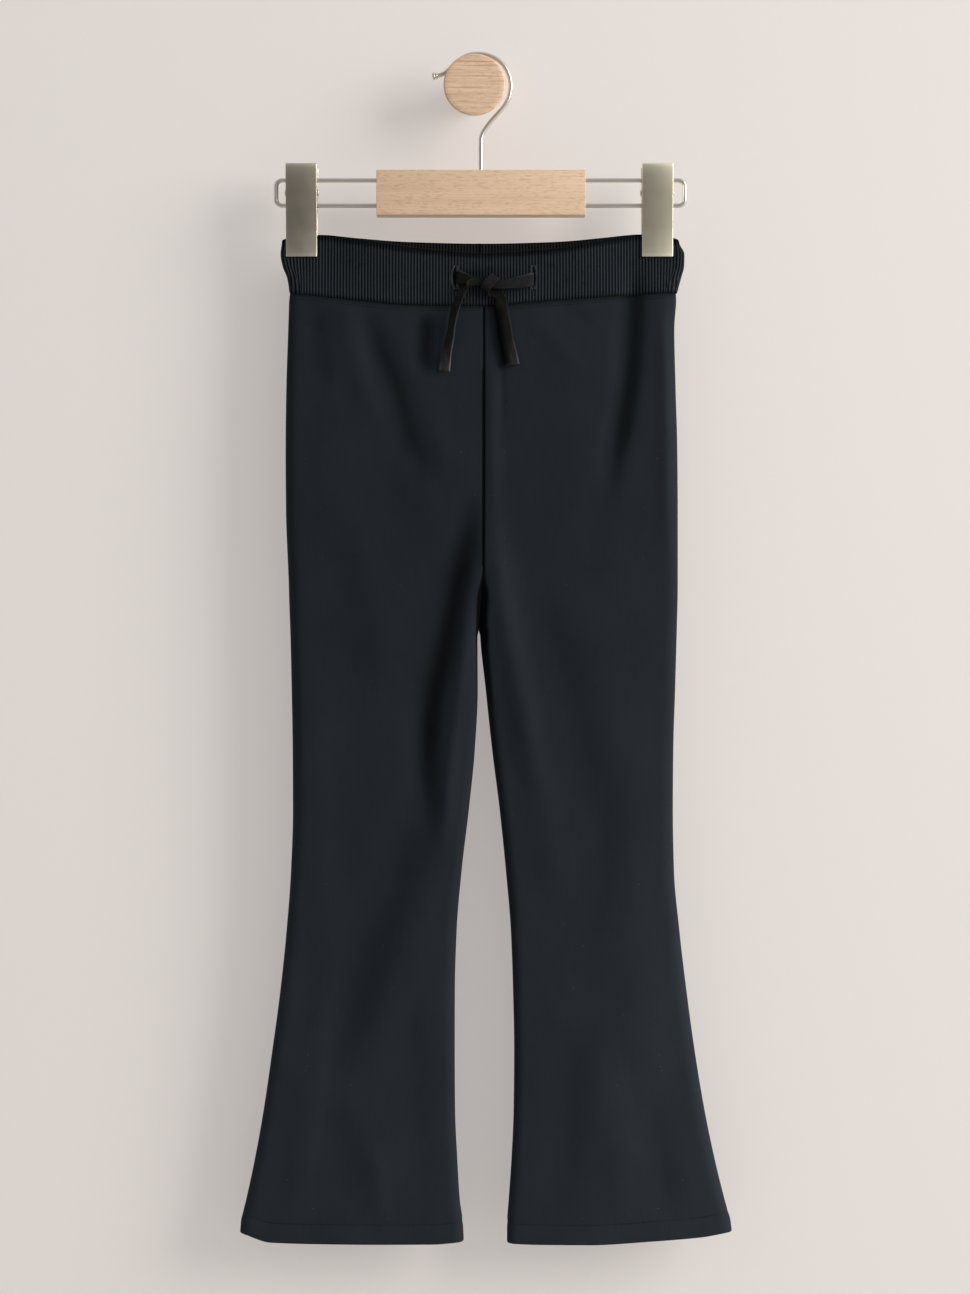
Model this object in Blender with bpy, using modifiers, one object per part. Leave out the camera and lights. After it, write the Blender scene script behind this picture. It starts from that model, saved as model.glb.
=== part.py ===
"""Child's flared joggers, hung by the waistband from a clip hanger on a wooden wall peg.

The joggers face -Y, +X is to the right as seen from the front and +Z is up. The origin is the centre
of the peg's flat back, which sits on the wall at y = 0. Sizes are in millimetres, and MM turns them
into metres where a mesh is made.
"""
import math

import bmesh
import bpy
from mathutils import Matrix

MM = 0.001
SEAM_GAP = 0.3                 # clearance between pieces that touch
HANG_Y = -35.0                 # mid plane of the hanger and the cloth, in front of the wall

# Cloth
JERSEY = 1.5                   # leg cloth
HEM_WALL = 2.9                 # leg cloth turned up once
HEM_DEPTH = 14.5
RIB_WALL = 2.6                 # doubled rib of the waistband
RIB_RELIEF = 0.4
RIBS = 264
RIB_POINTS = 2                 # crest and groove
INNER_STEP = 4                 # rib points to one column of the plain inside
CROWN = 0.15                   # how much fuller a section is at its middle than near its edges
END_POWER = 2.3                # squareness of a rounded side fold
TOP_BEND = 60.0                # how far down a leg its sections still follow the waist seam's curve
FOLD_STARTS = (-0.15, 0.2)     # where a soft fold rises, and where it dies away, in its own lengths
FOLD_ENDS = (0.7, 1.15)

# Hanger
BAR_X = 4.7
BAR_SIZE = (150.0, 14.0, 32.4)
BAR_TOP = -61.5
BAR_EASE = 1.4                 # rounding of the bar's edges
WIRE_R = 1.6
WIRE_HOLE_R = 1.95
ROD_TOP_Z = -68.0
ROD_LOW_Z = -86.2
ROD_ENDS = (-142.7, 151.4)
ROD_CORNER = 4.4
HOOK_SEAT = 4.0

# Clips
CLIP_X = {"left": -124.2, "right": 131.5}
CLIP_HALF = 11.2
CLIP_TOP = -57.3
CLIP_BEND = -104.0
CLIP_FOOT = -123.5
PLATE = 1.2
PINCHED = 2.85                 # half the thickness of the cloth in the jaws
PINCHED_LEG = 4.05             # and of the cloth just below the waist seam under them
BAND_END = 3.4                 # half the band's thickness outside the jaws
JAW = PINCHED + SEAM_GAP
JAW_MARGIN = 1.6               # cloth held flat this far past the plates' edges
PRESS_REACH = 62.0             # how far in from a clip the band is still drawn flat
PRESS_BELOW = ((0.0, 30.0, 0.75), (20.0, 90.0, 0.25))   # below the jaws: from, to, share let go
CLIP_SPREAD = 9.0              # inner face of a plate from the mid plane, at its top
PIVOT_Z = (ROD_TOP_Z + ROD_LOW_Z) / 2
PIN_R = 1.5
PIN_HEAD_R = 2.4
PIN_HEAD = 0.8
EAR_REACH = -3.4               # how far an ear reaches past the mid plane, round the pin
EAR_CORNER = 2.5
ROD_CLEAR = WIRE_R + 0.6       # an ear's edge from the mid plane, where it passes the rods
COIL_R = 3.3
COIL_GROOVE_R = 2.6
COILS = 5
SPRING_LEG_R = 0.75
SPRING_LEG_TOP = CLIP_TOP - 8.0

# Peg
PEG_STEPS = 32
PEG_PROFILE = (                # radius, distance from the wall
    (12.0, 0.0), (12.0, 4.0), (13.0, 12.0), (15.0, 21.0), (17.8, 29.0), (19.1, 32.0),
    (19.1, 36.9), (20.4, 37.2), (21.9, 37.8), (22.2, 38.3), (22.2, 40.2), (21.7, 40.9), (21.0, 41.0),
)

# Drawstring
TAPE_WIDTH = 10.0
TAPE_THICK = 1.4
TAPE_SECTION = ((-0.5, 0.0), (-0.44, 0.5), (0.44, 0.5), (0.5, 0.0), (0.44, -0.5), (-0.44, -0.5))
SLIT_HEIGHT = 16.5
SLIT_WIDTH = 2.6
SLIT_DEPTH = 1.8

# Outline of the two legs, from the waist seam to the hem: the outer and inner edges as x, the
# distance from the mid plane to the cloth's face, how far the front and back have parted between
# the legs (0 joined at full depth, 1 closed round each leg) and the width of the inner side fold
LEG_COLUMNS = ("z", "left_outer", "left_inner", "right_inner", "right_outer",
               "front", "back", "front_part", "back_part", "inner_round")
LEG_SECTIONS = (
    (-151.0, -133.6, 6.6, 6.9, 145.6, 8.4, 8.0, 0.0, 0.0, 5.0),
    (-175.7, -134.2, 6.6, 6.9, 144.0, 9.4, 9.2, 0.0, 0.0, 5.0),
    (-218.9, -135.5, 6.5, 6.8, 144.9, 10.8, 10.6, 0.0, 0.0, 5.0),
    (-262.1, -136.0, 6.5, 6.8, 146.1, 11.4, 11.6, 0.0, 0.0, 5.0),
    (-305.3, -135.7, 6.4, 6.7, 146.4, 11.8, 12.2, 0.0, 0.0, 4.8),
    (-350.6, -134.0, 6.3, 6.6, 146.4, 12.2, 12.6, 0.0, 0.0, 4.5),
    (-358.0, -133.7, 5.4, 5.7, 146.4, 12.2, 12.6, 0.45, 0.0, 4.3),
    (-370.1, -133.4, 4.4, 4.7, 146.3, 12.2, 12.6, 0.85, 0.3, 4.2),
    (-381.5, -133.0, 3.4, 3.8, 146.0, 12.1, 12.5, 0.96, 0.8, 4.4),
    (-392.4, -132.6, 2.3, 3.9, 145.7, 12.0, 12.4, 1.0, 1.0, 5.0),
    (-434.9, -131.6, 2.5, 8.0, 144.5, 11.8, 12.0, 1.0, 1.0, 7.0),
    (-478.1, -130.9, 0.4, 12.6, 143.2, 11.5, 11.6, 1.0, 1.0, 8.0),
    (-521.3, -130.7, -3.9, 18.0, 142.9, 11.2, 11.3, 1.0, 1.0, 8.5),
    (-564.5, -132.1, -9.0, 22.4, 143.7, 11.0, 11.0, 1.0, 1.0, 9.0),
    (-607.7, -135.3, -12.6, 26.0, 147.6, 10.8, 10.8, 1.0, 1.0, 9.0),
    (-650.9, -139.8, -13.9, 27.6, 152.7, 10.6, 10.6, 1.0, 1.0, 9.0),
    (-694.1, -145.6, -14.0, 28.4, 158.6, 10.4, 10.4, 1.0, 1.0, 9.0),
    (-737.3, -151.9, -13.7, 28.0, 165.8, 10.2, 10.2, 1.0, 1.0, 9.0),
    (-773.3, -158.4, -12.1, 26.4, 173.3, 10.0, 10.0, 1.0, 1.0, 9.0),
    (-802.1, -164.6, -10.3, 24.4, 180.4, 9.8, 9.8, 1.0, 1.0, 8.5),
    (-817.4, -168.2, -8.2, 23.3, 184.6, 9.6, 9.7, 1.0, 1.0, 8.0),
    (-832.4, -169.0, -7.5, 23.2, 185.8, 9.4, 9.6, 1.0, 1.0, 8.0),
)
OUTER_ROUND = 10.0
BACK_CENTRE_SHIFT = -3.0       # the centre back seam hangs a little to the left of the front one
SHIFT_ENDS = (330.0, 390.0)    # and meets it between these distances below the peg
LOBES_BEGIN = (300.0, 430.0)   # one crown across both legs turns into one a leg between these
OUTER_STEPS = 4
MIDDLE_STEPS = 5
INNER_STEPS = 4

# Heights of the waist seam and of the band's top edge across the garment, front and back
BAND_COLUMNS = ("x", "front_seam", "front_top", "back_seam", "back_top")
BAND_EDGES = (
    (-140.0, -150.2, -110.8, -150.2, -110.8),
    (-124.0, -151.2, -107.6, -150.8, -107.6),
    (-110.0, -152.6, -107.5, -151.2, -107.3),
    (-85.0, -155.4, -110.6, -151.8, -108.9),
    (-45.0, -158.9, -117.0, -152.6, -111.4),
    (6.0, -159.4, -121.0, -153.0, -112.5),
    (55.0, -155.8, -118.2, -152.6, -111.4),
    (92.0, -153.0, -111.6, -151.8, -108.8),
    (118.0, -151.2, -107.2, -151.0, -106.9),
    (132.0, -150.4, -107.2, -150.2, -107.2),
    (150.0, -149.6, -111.0, -149.6, -111.0),
)
# The band's two side folds at five levels, from the seam to the top edge
BAND_SIDE_COLUMNS = ("level", "left", "right", "round", "depth")
BAND_SIDES = (
    (0.0, -133.3, 146.3, 9.0, 8.6),
    (0.28, -134.6, 148.6, 7.0, 8.4),
    (0.54, -138.2, 151.0, 4.2, 8.5),
    (0.76, -139.6, 151.2, 3.5, 8.7),
    (1.0, -138.6, 147.2, 3.4, 8.8),
)
BAND_POINTS = 260              # points read along a face and round a side fold before the even spacing
BAND_END_POINTS = 16
# Heights of the hem's foot across each leg, from its outer edge (0) to its inner edge (1)
HEM_COLUMNS = ("across", "left", "right")
HEM_FOOT = (
    (0.0, -825.3, -824.2),
    (0.14, -831.2, -827.4),
    (0.37, -832.2, -830.4),
    (0.64, -832.6, -832.9),
    (0.86, -832.6, -832.8),
    (1.0, -831.2, -832.2),
)

# Soft folds that hang from the crotch, the clips and the hips: a line from one point to another,
# its half width, and its height out of the cloth's face
FOLD_COLUMNS = ("face", "x0", "z0", "x1", "z1", "half_width", "height")
FOLDS = (
    ("front", -3.0, -350.0, -32.0, -470.0, 11.0, -2.6),
    ("front", -32.0, -470.0, -58.0, -590.0, 14.0, -1.8),
    ("front", -8.0, -420.0, -16.0, -560.0, 8.0, 1.6),
    ("front", 24.0, -365.0, 62.0, -480.0, 12.0, 1.8),
    ("front", 112.0, -150.0, 108.0, -250.0, 9.0, -2.4),
    ("front", -38.0, -165.0, -36.0, -200.0, 11.0, -1.6),
    ("front", -112.0, -165.0, -60.0, -240.0, 10.0, 1.2),
    ("back", -6.0, -345.0, -44.0, -480.0, 12.0, -2.4),
    ("back", 16.0, -345.0, 52.0, -470.0, 12.0, -2.4),
    ("back", -114.0, -152.0, -108.0, -250.0, 9.0, -2.0),
    ("back", 116.0, -152.0, 112.0, -240.0, 9.0, -2.0),
    ("back", -60.0, -640.0, -74.0, -780.0, 16.0, 1.4),
    ("back", 84.0, -640.0, 100.0, -780.0, 16.0, 1.4),
)

# Middle line of the wire hook, from its headed tip over the peg and down to the bar
HOOK_ROUTE = (
    (-30.2, 6.9), (-28.0, 7.1), (-24.5, 7.8), (-21.2, 9.3), (-18.7, 11.3), (-15.9, 13.8),
    (-12.6, 16.9), (-8.6, 20.1), (-4.3, 22.1), (0.5, 22.9), (5.3, 22.9), (10.4, 21.9), (15.4, 19.7),
    (19.7, 16.3), (23.2, 11.5), (25.4, 5.7), (26.1, -0.7), (24.9, -8.0), (21.7, -14.2),
    (17.8, -18.9), (12.4, -25.0), (7.9, -30.9), (5.6, -34.9), (4.7, -39.6), (4.7, -50.0),
)
HOOK_HEAD = 1.75               # the tip's flat head, in wire radii

# The drawstring's four stretches: x, z, the distance of the tape's middle from the cloth's face, and
# how far the tape is turned about its own line, in degrees
RUN_LEFT = (
    (-13.2, -138.9, -1.1, 0.0),
    (-12.9, -138.9, 0.2, 0.0),
    (-11.3, -139.0, 1.6, 0.0),
    (-8.0, -140.1, 2.0, 4.0),
    (-4.2, -141.5, 2.4, 6.0),
    (0.9, -142.9, 3.0, 8.0),
)
RUN_RIGHT = (
    (42.0, -140.6, -1.1, 0.0),
    (41.7, -140.6, 0.2, 0.0),
    (40.1, -140.7, 1.6, 0.0),
    (36.6, -141.8, 2.0, -4.0),
    (31.6, -143.0, 2.6, -8.0),
    (23.4, -144.3, 3.6, -10.0),
)
END_LEFT = (
    (0.6, -141.0, 6.2, 0.0),
    (-3.2, -142.4, 6.6, 12.0),
    (-8.2, -148.0, 6.8, 28.0),
    (-12.4, -156.0, 6.2, 40.0),
    (-15.6, -168.0, 5.2, 46.0),
    (-17.6, -181.0, 4.4, 40.0),
    (-20.0, -194.0, 3.4, 24.0),
    (-21.6, -206.4, 2.4, 8.0),
)
END_RIGHT = (
    (17.3, -150.3, 3.0, 0.0),
    (18.9, -158.0, 3.2, -6.0),
    (20.9, -170.0, 3.4, -10.0),
    (23.4, -184.0, 3.2, -12.0),
    (25.6, -194.0, 2.8, -8.0),
    (27.4, -202.2, 2.5, -4.0),
)
KNOT_CENTRE = (12.2, -144.6)
KNOT_OUT = 4.1                 # middle of the knot from the band's face
KNOT_HALF = (10.6, 3.3, 5.6)
WRAP_TILT = 38.0
WRAP_WIDTH = 6.0
WRAP_HALF = (3.75, 6.1)        # half its depth and half its height
WRAP_EASE = 0.14               # rounding of its edges, in half heights

COLOURS = {
    "jersey": ((0.020, 0.023, 0.028), 0.92, 0.0),
    "rib": ((0.018, 0.021, 0.026), 0.95, 0.0),
    "tape": ((0.035, 0.034, 0.034), 0.9, 0.0),
    "beech": ((0.70, 0.49, 0.32), 0.55, 0.0),
    "nickel": ((0.62, 0.58, 0.50), 0.32, 1.0),
    "plate": ((0.42, 0.41, 0.35), 0.38, 1.0),
}


# Small helpers

def smooth(low, high, value):
    """0 below low, 1 above high, with a soft rise between."""
    t = min(1.0, max(0.0, (value - low) / (high - low)))
    return t * t * (3.0 - 2.0 * t)


def mix(a, b, t):
    return a + (b - a) * t


def read(columns, rows, name, at):
    """A named column of a table at a place along its first column, on a smooth curve through the rows."""
    index = columns.index(name)
    keys = [row[0] for row in rows]
    values = [row[index] for row in rows]
    if keys[0] > keys[-1]:
        keys.reverse()
        values.reverse()
    if at <= keys[0]:
        return values[0]
    if at >= keys[-1]:
        return values[-1]
    i = max(k for k in range(len(keys) - 1) if keys[k] <= at)

    def slope(k):
        if k in (0, len(keys) - 1):
            return 0.0
        before = (values[k] - values[k - 1]) / (keys[k] - keys[k - 1])
        after = (values[k + 1] - values[k]) / (keys[k + 1] - keys[k])
        return 0.0 if before * after <= 0 else 2 * before * after / (before + after)

    span = keys[i + 1] - keys[i]
    t = (at - keys[i]) / span
    return ((2 * t ** 3 - 3 * t ** 2 + 1) * values[i] + (t ** 3 - 2 * t ** 2 + t) * span * slope(i)
            + (3 * t ** 2 - 2 * t ** 3) * values[i + 1] + (t ** 3 - t ** 2) * span * slope(i + 1))


def curve_through(points, steps):
    """Points of a smooth curve through hand-placed ones, of any number of coordinates."""
    first = tuple(2 * a - b for a, b in zip(points[0], points[1]))
    last = tuple(2 * a - b for a, b in zip(points[-1], points[-2]))
    padded = [first, *points, last]

    def between(a, b, c, d, t):
        square = 2 * a - 5 * b + 4 * c - d
        cube = 3 * b - a - 3 * c + d
        return 0.5 * (2 * b + (c - a) * t + square * t ** 2 + cube * t ** 3)

    result = []
    for i in range(1, len(padded) - 2):
        for step in range(steps):
            result.append(tuple(between(*around, step / steps) for around in zip(*padded[i - 1:i + 3])))
    result.append(tuple(points[-1]))
    return result


def clear_scene():
    for thing in list(bpy.data.objects):
        bpy.data.objects.remove(thing, do_unlink=True)


def make_material(name):
    colour, roughness, metallic = COLOURS[name]
    material = bpy.data.materials.new(name)
    material.use_nodes = True
    shader = material.node_tree.nodes["Principled BSDF"]
    shader.inputs["Base Color"].default_value = (*colour, 1.0)
    shader.inputs["Roughness"].default_value = roughness
    shader.inputs["Metallic"].default_value = metallic
    material.diffuse_color = (*colour, 1.0)
    return material


def add_object(name, mesh, material, collection):
    thing = bpy.data.objects.new(name, mesh)
    mesh.materials.clear()
    mesh.materials.append(material)
    collection.objects.link(thing)
    return thing


def mesh_from(name, bm):
    mesh = bpy.data.meshes.new(name)
    bm.to_mesh(mesh)
    bm.free()
    return mesh


def round_shading(thing):
    thing.data.shade_smooth()
    thing.data.set_sharp_from_angle(angle=math.radians(40))


def apply_modifiers(thing):
    """Swap an object's mesh for the one its modifiers make."""
    bpy.context.view_layer.update()
    evaluated = thing.evaluated_get(bpy.context.evaluated_depsgraph_get())
    mesh = bpy.data.meshes.new_from_object(evaluated)
    thing.modifiers.clear()
    thing.data = mesh


def combine(thing, other, operation):
    """Join another object to this one, or cut it away, and remove the other."""
    modifier = thing.modifiers.new(operation.lower(), "BOOLEAN")
    modifier.operation = operation
    modifier.solver = "EXACT"
    modifier.object = other
    apply_modifiers(thing)
    bpy.data.objects.remove(other, do_unlink=True)


# Walls of cloth

def wall_mesh(name, outer, inner):
    """A closed wall between rows of outer points and rows of inner points.

    The outer rows may have several columns to each inner one, as the ribs do over a plain inside.
    """
    bm = bmesh.new()
    outer_verts = [[bm.verts.new([c * MM for c in p]) for p in row] for row in outer]
    inner_verts = [[bm.verts.new([c * MM for c in p]) for p in row] for row in inner]
    ratio = (len(outer[0]) - 1) // (len(inner[0]) - 1)

    def skin(rows, flip):
        for low, high in zip(rows, rows[1:]):
            for i in range(len(low) - 1):
                face = (low[i], low[i + 1], high[i + 1], high[i])
                bm.faces.new(reversed(face) if flip else face)

    def edge(outer_row, inner_row, flip):
        for i in range(len(inner_row) - 1):
            start = i * ratio
            half = start + (ratio + 1) // 2
            near, far = inner_row[i], inner_row[i + 1]
            faces = [(near, outer_row[k + 1], outer_row[k]) for k in range(start, half)]
            faces.append((near, far, outer_row[half]))
            faces += [(far, outer_row[k + 1], outer_row[k]) for k in range(half, start + ratio)]
            for face in faces:
                bm.faces.new(reversed(face) if flip else face)

    def side(column, flip):
        for low in range(len(outer_verts) - 1):
            face = (outer_verts[low][column], outer_verts[low + 1][column],
                    inner_verts[low + 1][column], inner_verts[low][column])
            bm.faces.new(reversed(face) if flip else face)

    skin(outer_verts, False)
    skin(inner_verts, True)
    edge(outer_verts[0], inner_verts[0], False)
    edge(outer_verts[-1], inner_verts[-1], True)
    side(0, False)
    side(-1, True)
    bmesh.ops.recalc_face_normals(bm, faces=bm.faces)
    return mesh_from(name, bm)


def round_end(steps):
    """Steps round a side fold: the share of its width gone in, and the share of full depth reached."""
    for k in range(steps + 1):
        angle = math.pi / 2 * k / steps
        yield 1.0 - math.cos(angle) ** (2 / END_POWER), math.sin(angle) ** (2 / END_POWER)


def fold_height(face, x, z):
    """Height of the soft folds at a place on the front or back."""
    total = 0.0
    for row in FOLDS:
        fold = dict(zip(FOLD_COLUMNS, row))
        if fold["face"] != face:
            continue
        along_x = fold["x1"] - fold["x0"]
        along_z = fold["z1"] - fold["z0"]
        length = math.hypot(along_x, along_z)
        t = ((x - fold["x0"]) * along_x + (z - fold["z0"]) * along_z) / length ** 2
        off = abs((x - fold["x0"]) * along_z - (z - fold["z0"]) * along_x) / length
        fade = smooth(*FOLD_STARTS, t) * (1.0 - smooth(*FOLD_ENDS, t))
        total += fold["height"] * fade * math.exp(-(off / fold["half_width"]) ** 2)
    return total


def pinch(x, z):
    """How far the clips press the cloth together at a place: 1 in their jaws."""
    inward = min(x - CLIP_X["left"], CLIP_X["right"] - x)
    across = 1.0 - smooth(CLIP_HALF + JAW_MARGIN, PRESS_REACH, inward)
    below = CLIP_FOOT - JAW_MARGIN - z
    let_go = sum(share * smooth(start, end, below) for start, end, share in PRESS_BELOW)
    return across * (1.0 - let_go)


def leg_at(name, z):
    return read(LEG_COLUMNS, LEG_SECTIONS, name, z)


def leg_point(side, face, step, z):
    """One outer point of a leg section, with the outward direction of its cloth."""
    outer = leg_at(side + "_outer", z)
    inner = leg_at(side + "_inner", z)
    parting = leg_at(face + "_part", z)
    if face == "back":
        inner += BACK_CENTRE_SHIFT * (1.0 - smooth(*SHIFT_ENDS, -z))
    toward = 1.0 if side == "left" else -1.0
    full = leg_at(face, z)
    inner_round = leg_at("inner_round", z)
    inner_start = inner - toward * inner_round
    outer_end = outer + toward * OUTER_ROUND
    kind, gone, reached = step
    if kind == "outer":
        x = outer + toward * OUTER_ROUND * gone
        share = reached
    elif kind == "middle":
        x = mix(outer_end, inner_start, gone)
        share = 1.0
    else:
        x = inner - toward * inner_round * gone
        share = 1.0 - parting * (1.0 - reached)
    across = (x - outer) / (inner - outer)
    lobe = 0.5 + 0.5 * smooth(*LOBES_BEGIN, -z)
    depth = full * (1.0 - CROWN + CROWN * math.sin(math.pi * across * lobe))
    depth = mix(depth, PINCHED_LEG, pinch(x, z))
    depth += fold_height(face, x, z) * share
    return x, max(depth * share, SEAM_GAP / 2)


def leg_steps():
    """The places across a leg, from the side seam to the inside seam or the centre seam."""
    steps = [("outer", gone, reached) for gone, reached in round_end(OUTER_STEPS)]
    steps += [("middle", k / MIDDLE_STEPS, 1.0) for k in range(1, MIDDLE_STEPS)]
    steps += [("inner", gone, reached) for gone, reached in reversed(list(round_end(INNER_STEPS)))]
    return steps


def leg_height(side, face, z, x, across):
    """The height of a point of a section, bent to the waist seam at the top and to the hem at the foot."""
    seam = read(BAND_COLUMNS, BAND_EDGES, face + "_seam", x) - SEAM_GAP
    foot = read(HEM_COLUMNS, HEM_FOOT, side, across)
    top = LEG_SECTIONS[0][0]
    low = LEG_SECTIONS[-1][0]
    near_top = 1.0 - smooth(-top, -top + TOP_BEND, -z)
    near_foot = smooth(-low - HEM_DEPTH * 2, -low, -z)
    return z + (seam - top) * near_top + (foot - low) * near_foot


def leg_panel(side, face):
    """The outer and inner points of one of the four leg panels."""
    out = -1.0 if face == "front" else 1.0
    toward = 1.0 if side == "left" else -1.0
    steps = leg_steps()
    hem_line = LEG_SECTIONS[-1][0] + HEM_DEPTH
    outer_rows, inner_rows = [], []
    for section in LEG_SECTIONS:
        z = section[0]
        outer_edge = leg_at(side + "_outer", z)
        inner_edge = leg_at(side + "_inner", z)
        line = []
        for step in steps:
            across = (leg_point(side, face, step, z)[0] - outer_edge) / (inner_edge - outer_edge)
            x = mix(outer_edge, inner_edge, across)
            height = leg_height(side, face, z, x, min(1.0, max(0.0, across)))
            x, depth = leg_point(side, face, step, height)
            line.append((x, HANG_Y + out * depth, height))
        wall = HEM_WALL if z < hem_line else JERSEY
        parting = leg_at(face + "_part", line[-1][2])
        inside = []
        for k, (x, y, height) in enumerate(line):
            if k == 0:
                normal = (-toward, 0.0)
            elif k == len(line) - 1:
                turn = math.pi / 2 * parting ** 1.5
                normal = (toward * math.sin(turn), out * math.cos(turn))
            else:
                run_x = line[k + 1][0] - line[k - 1][0]
                run_y = line[k + 1][1] - line[k - 1][1]
                length = math.hypot(run_x, run_y)
                normal = (-toward * out * run_y / length, out * abs(run_x) / length)
            inside.append((x - normal[0] * wall, y - normal[1] * wall, height))
        outer_rows.append(line)
        inner_rows.append(inside)
    return outer_rows, inner_rows


# Waistband

def band_side(name, level):
    return read(BAND_SIDE_COLUMNS, BAND_SIDES, name, level)


def band_face(face, level, x):
    """Distance from the mid plane to the band's face, without ribs, and its height."""
    left = band_side("left", level)
    right = band_side("right", level)
    width = band_side("round", level)
    seam = read(BAND_COLUMNS, BAND_EDGES, face + "_seam", x)
    top = read(BAND_COLUMNS, BAND_EDGES, face + "_top", x)
    z = mix(seam, top, level)
    across = (x - left) / (right - left)
    depth = band_side("depth", level) * (1.0 - CROWN + CROWN * math.sin(math.pi * across))
    rise = min(1.0, level * 2)
    beyond = max(CLIP_X["left"] - CLIP_HALF - x, x - CLIP_X["right"] - CLIP_HALF)
    held = mix(PINCHED, BAND_END, smooth(JAW_MARGIN / 2, JAW_MARGIN * 2, beyond))
    depth = mix(depth, mix(PINCHED_LEG, held, rise), pinch(x, z))
    depth += fold_height(face, x, z) * (1.0 - level)
    gone = min(1.0, min(x - left, right - x) / width)
    return depth * (1.0 - (1.0 - max(0.0, gone)) ** END_POWER) ** (1 / END_POWER), z


def band_ring(level):
    """The band's outline at a level as closely set points, from the centre back round by the left side."""
    left = band_side("left", level)
    right = band_side("right", level)
    width = band_side("round", level)
    join = BACK_CENTRE_SHIFT + LEG_SECTIONS[0][2]

    def stretch(low, high):
        return [mix(low, high, k / BAND_POINTS) for k in range(BAND_POINTS + 1)]

    def face_line(face, xs):
        out = -1.0 if face == "front" else 1.0
        line = []
        for x in xs:
            depth, z = band_face(face, level, x)
            line.append((x, HANG_Y + out * depth, z))
        return line

    fine = [width * gone for gone, reached in round_end(BAND_END_POINTS)]
    rise_left = [left + f for f in fine]
    fall_right = [right - f for f in fine]
    back_left = list(reversed(rise_left + stretch(left + width, join - SEAM_GAP / 2)[1:]))
    front = rise_left + stretch(left + width, right - width)[1:] + list(reversed(fall_right))[1:]
    back_right = fall_right + list(reversed(stretch(join + SEAM_GAP / 2, right - width)))[1:]
    return face_line("back", back_left) + face_line("front", front)[1:] + face_line("back", back_right)[1:]


def even_places(line, count):
    """Points at even spacing along a line, each with the outward direction of the ring there."""
    lengths = [0.0]
    for a, b in zip(line, line[1:]):
        lengths.append(lengths[-1] + math.dist(a[:2], b[:2]))
    places = []
    k = 0
    for i in range(count + 1):
        target = lengths[-1] * i / count
        while k < len(line) - 2 and lengths[k + 1] < target:
            k += 1
        t = (target - lengths[k]) / (lengths[k + 1] - lengths[k])
        point = tuple(mix(a, b, t) for a, b in zip(line[k], line[k + 1]))
        back = line[max(0, k - 2)]
        ahead = line[min(len(line) - 1, k + 3)]
        run = (ahead[0] - back[0], ahead[1] - back[1])
        size = math.hypot(*run)
        places.append((point, (run[1] / size, -run[0] / size)))
    return places


def make_waistband(material, collection):
    """One ring of doubled rib, with raised ribs outside, a plain inside and two slits in its front."""
    count = RIBS * RIB_POINTS
    outer_rows, inner_rows = [], []
    for level in [row[0] for row in BAND_SIDES]:
        outer, inner = [], []
        for k, (point, away) in enumerate(even_places(band_ring(level), count)):
            if k in (0, count):
                away = (0.0, 1.0)
            sink = RIB_RELIEF if k % RIB_POINTS else 0.0
            outer.append((point[0] - away[0] * sink, point[1] - away[1] * sink, point[2]))
            if k % INNER_STEP == 0:
                inner.append((point[0] - away[0] * RIB_WALL, point[1] - away[1] * RIB_WALL, point[2]))
        outer_rows.append(outer)
        inner_rows.append(inner)
    band = add_object("waistband", wall_mesh("waistband", outer_rows, inner_rows), material, collection)
    for x, z in ((RUN_LEFT[0][0], RUN_LEFT[0][1]), (RUN_RIGHT[0][0], RUN_RIGHT[0][1])):
        face_y = cloth_face(x, z)
        size = (SLIT_WIDTH, SLIT_DEPTH * 2, SLIT_HEIGHT)
        cutter = make_box("slit", size, (x, face_y, z), 0.0, material, collection)
        combine(band, cutter, "DIFFERENCE")
    return band


def band_level(x, z):
    seam = read(BAND_COLUMNS, BAND_EDGES, "front_seam", x)
    top = read(BAND_COLUMNS, BAND_EDGES, "front_top", x)
    return (z - seam) / (top - seam)


def cloth_face(x, z):
    """The y of the front face of the band or of the leg panel below it."""
    level = band_level(x, z)
    if level >= 0.0:
        return HANG_Y - band_face("front", min(1.0, level), x)[0]
    side = "left" if x < leg_at("left_inner", z) else "right"
    outer = leg_at(side + "_outer", z)
    inner = leg_at(side + "_inner", z)
    outer_end = outer + (OUTER_ROUND if side == "left" else -OUTER_ROUND)
    inner_start = inner + (-1 if side == "left" else 1) * leg_at("inner_round", z)
    gone = min(1.0, (x - outer_end) / (inner_start - outer_end))
    return HANG_Y - leg_point(side, "front", ("middle", gone, 1.0), z)[1]


# Drawstring

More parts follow.
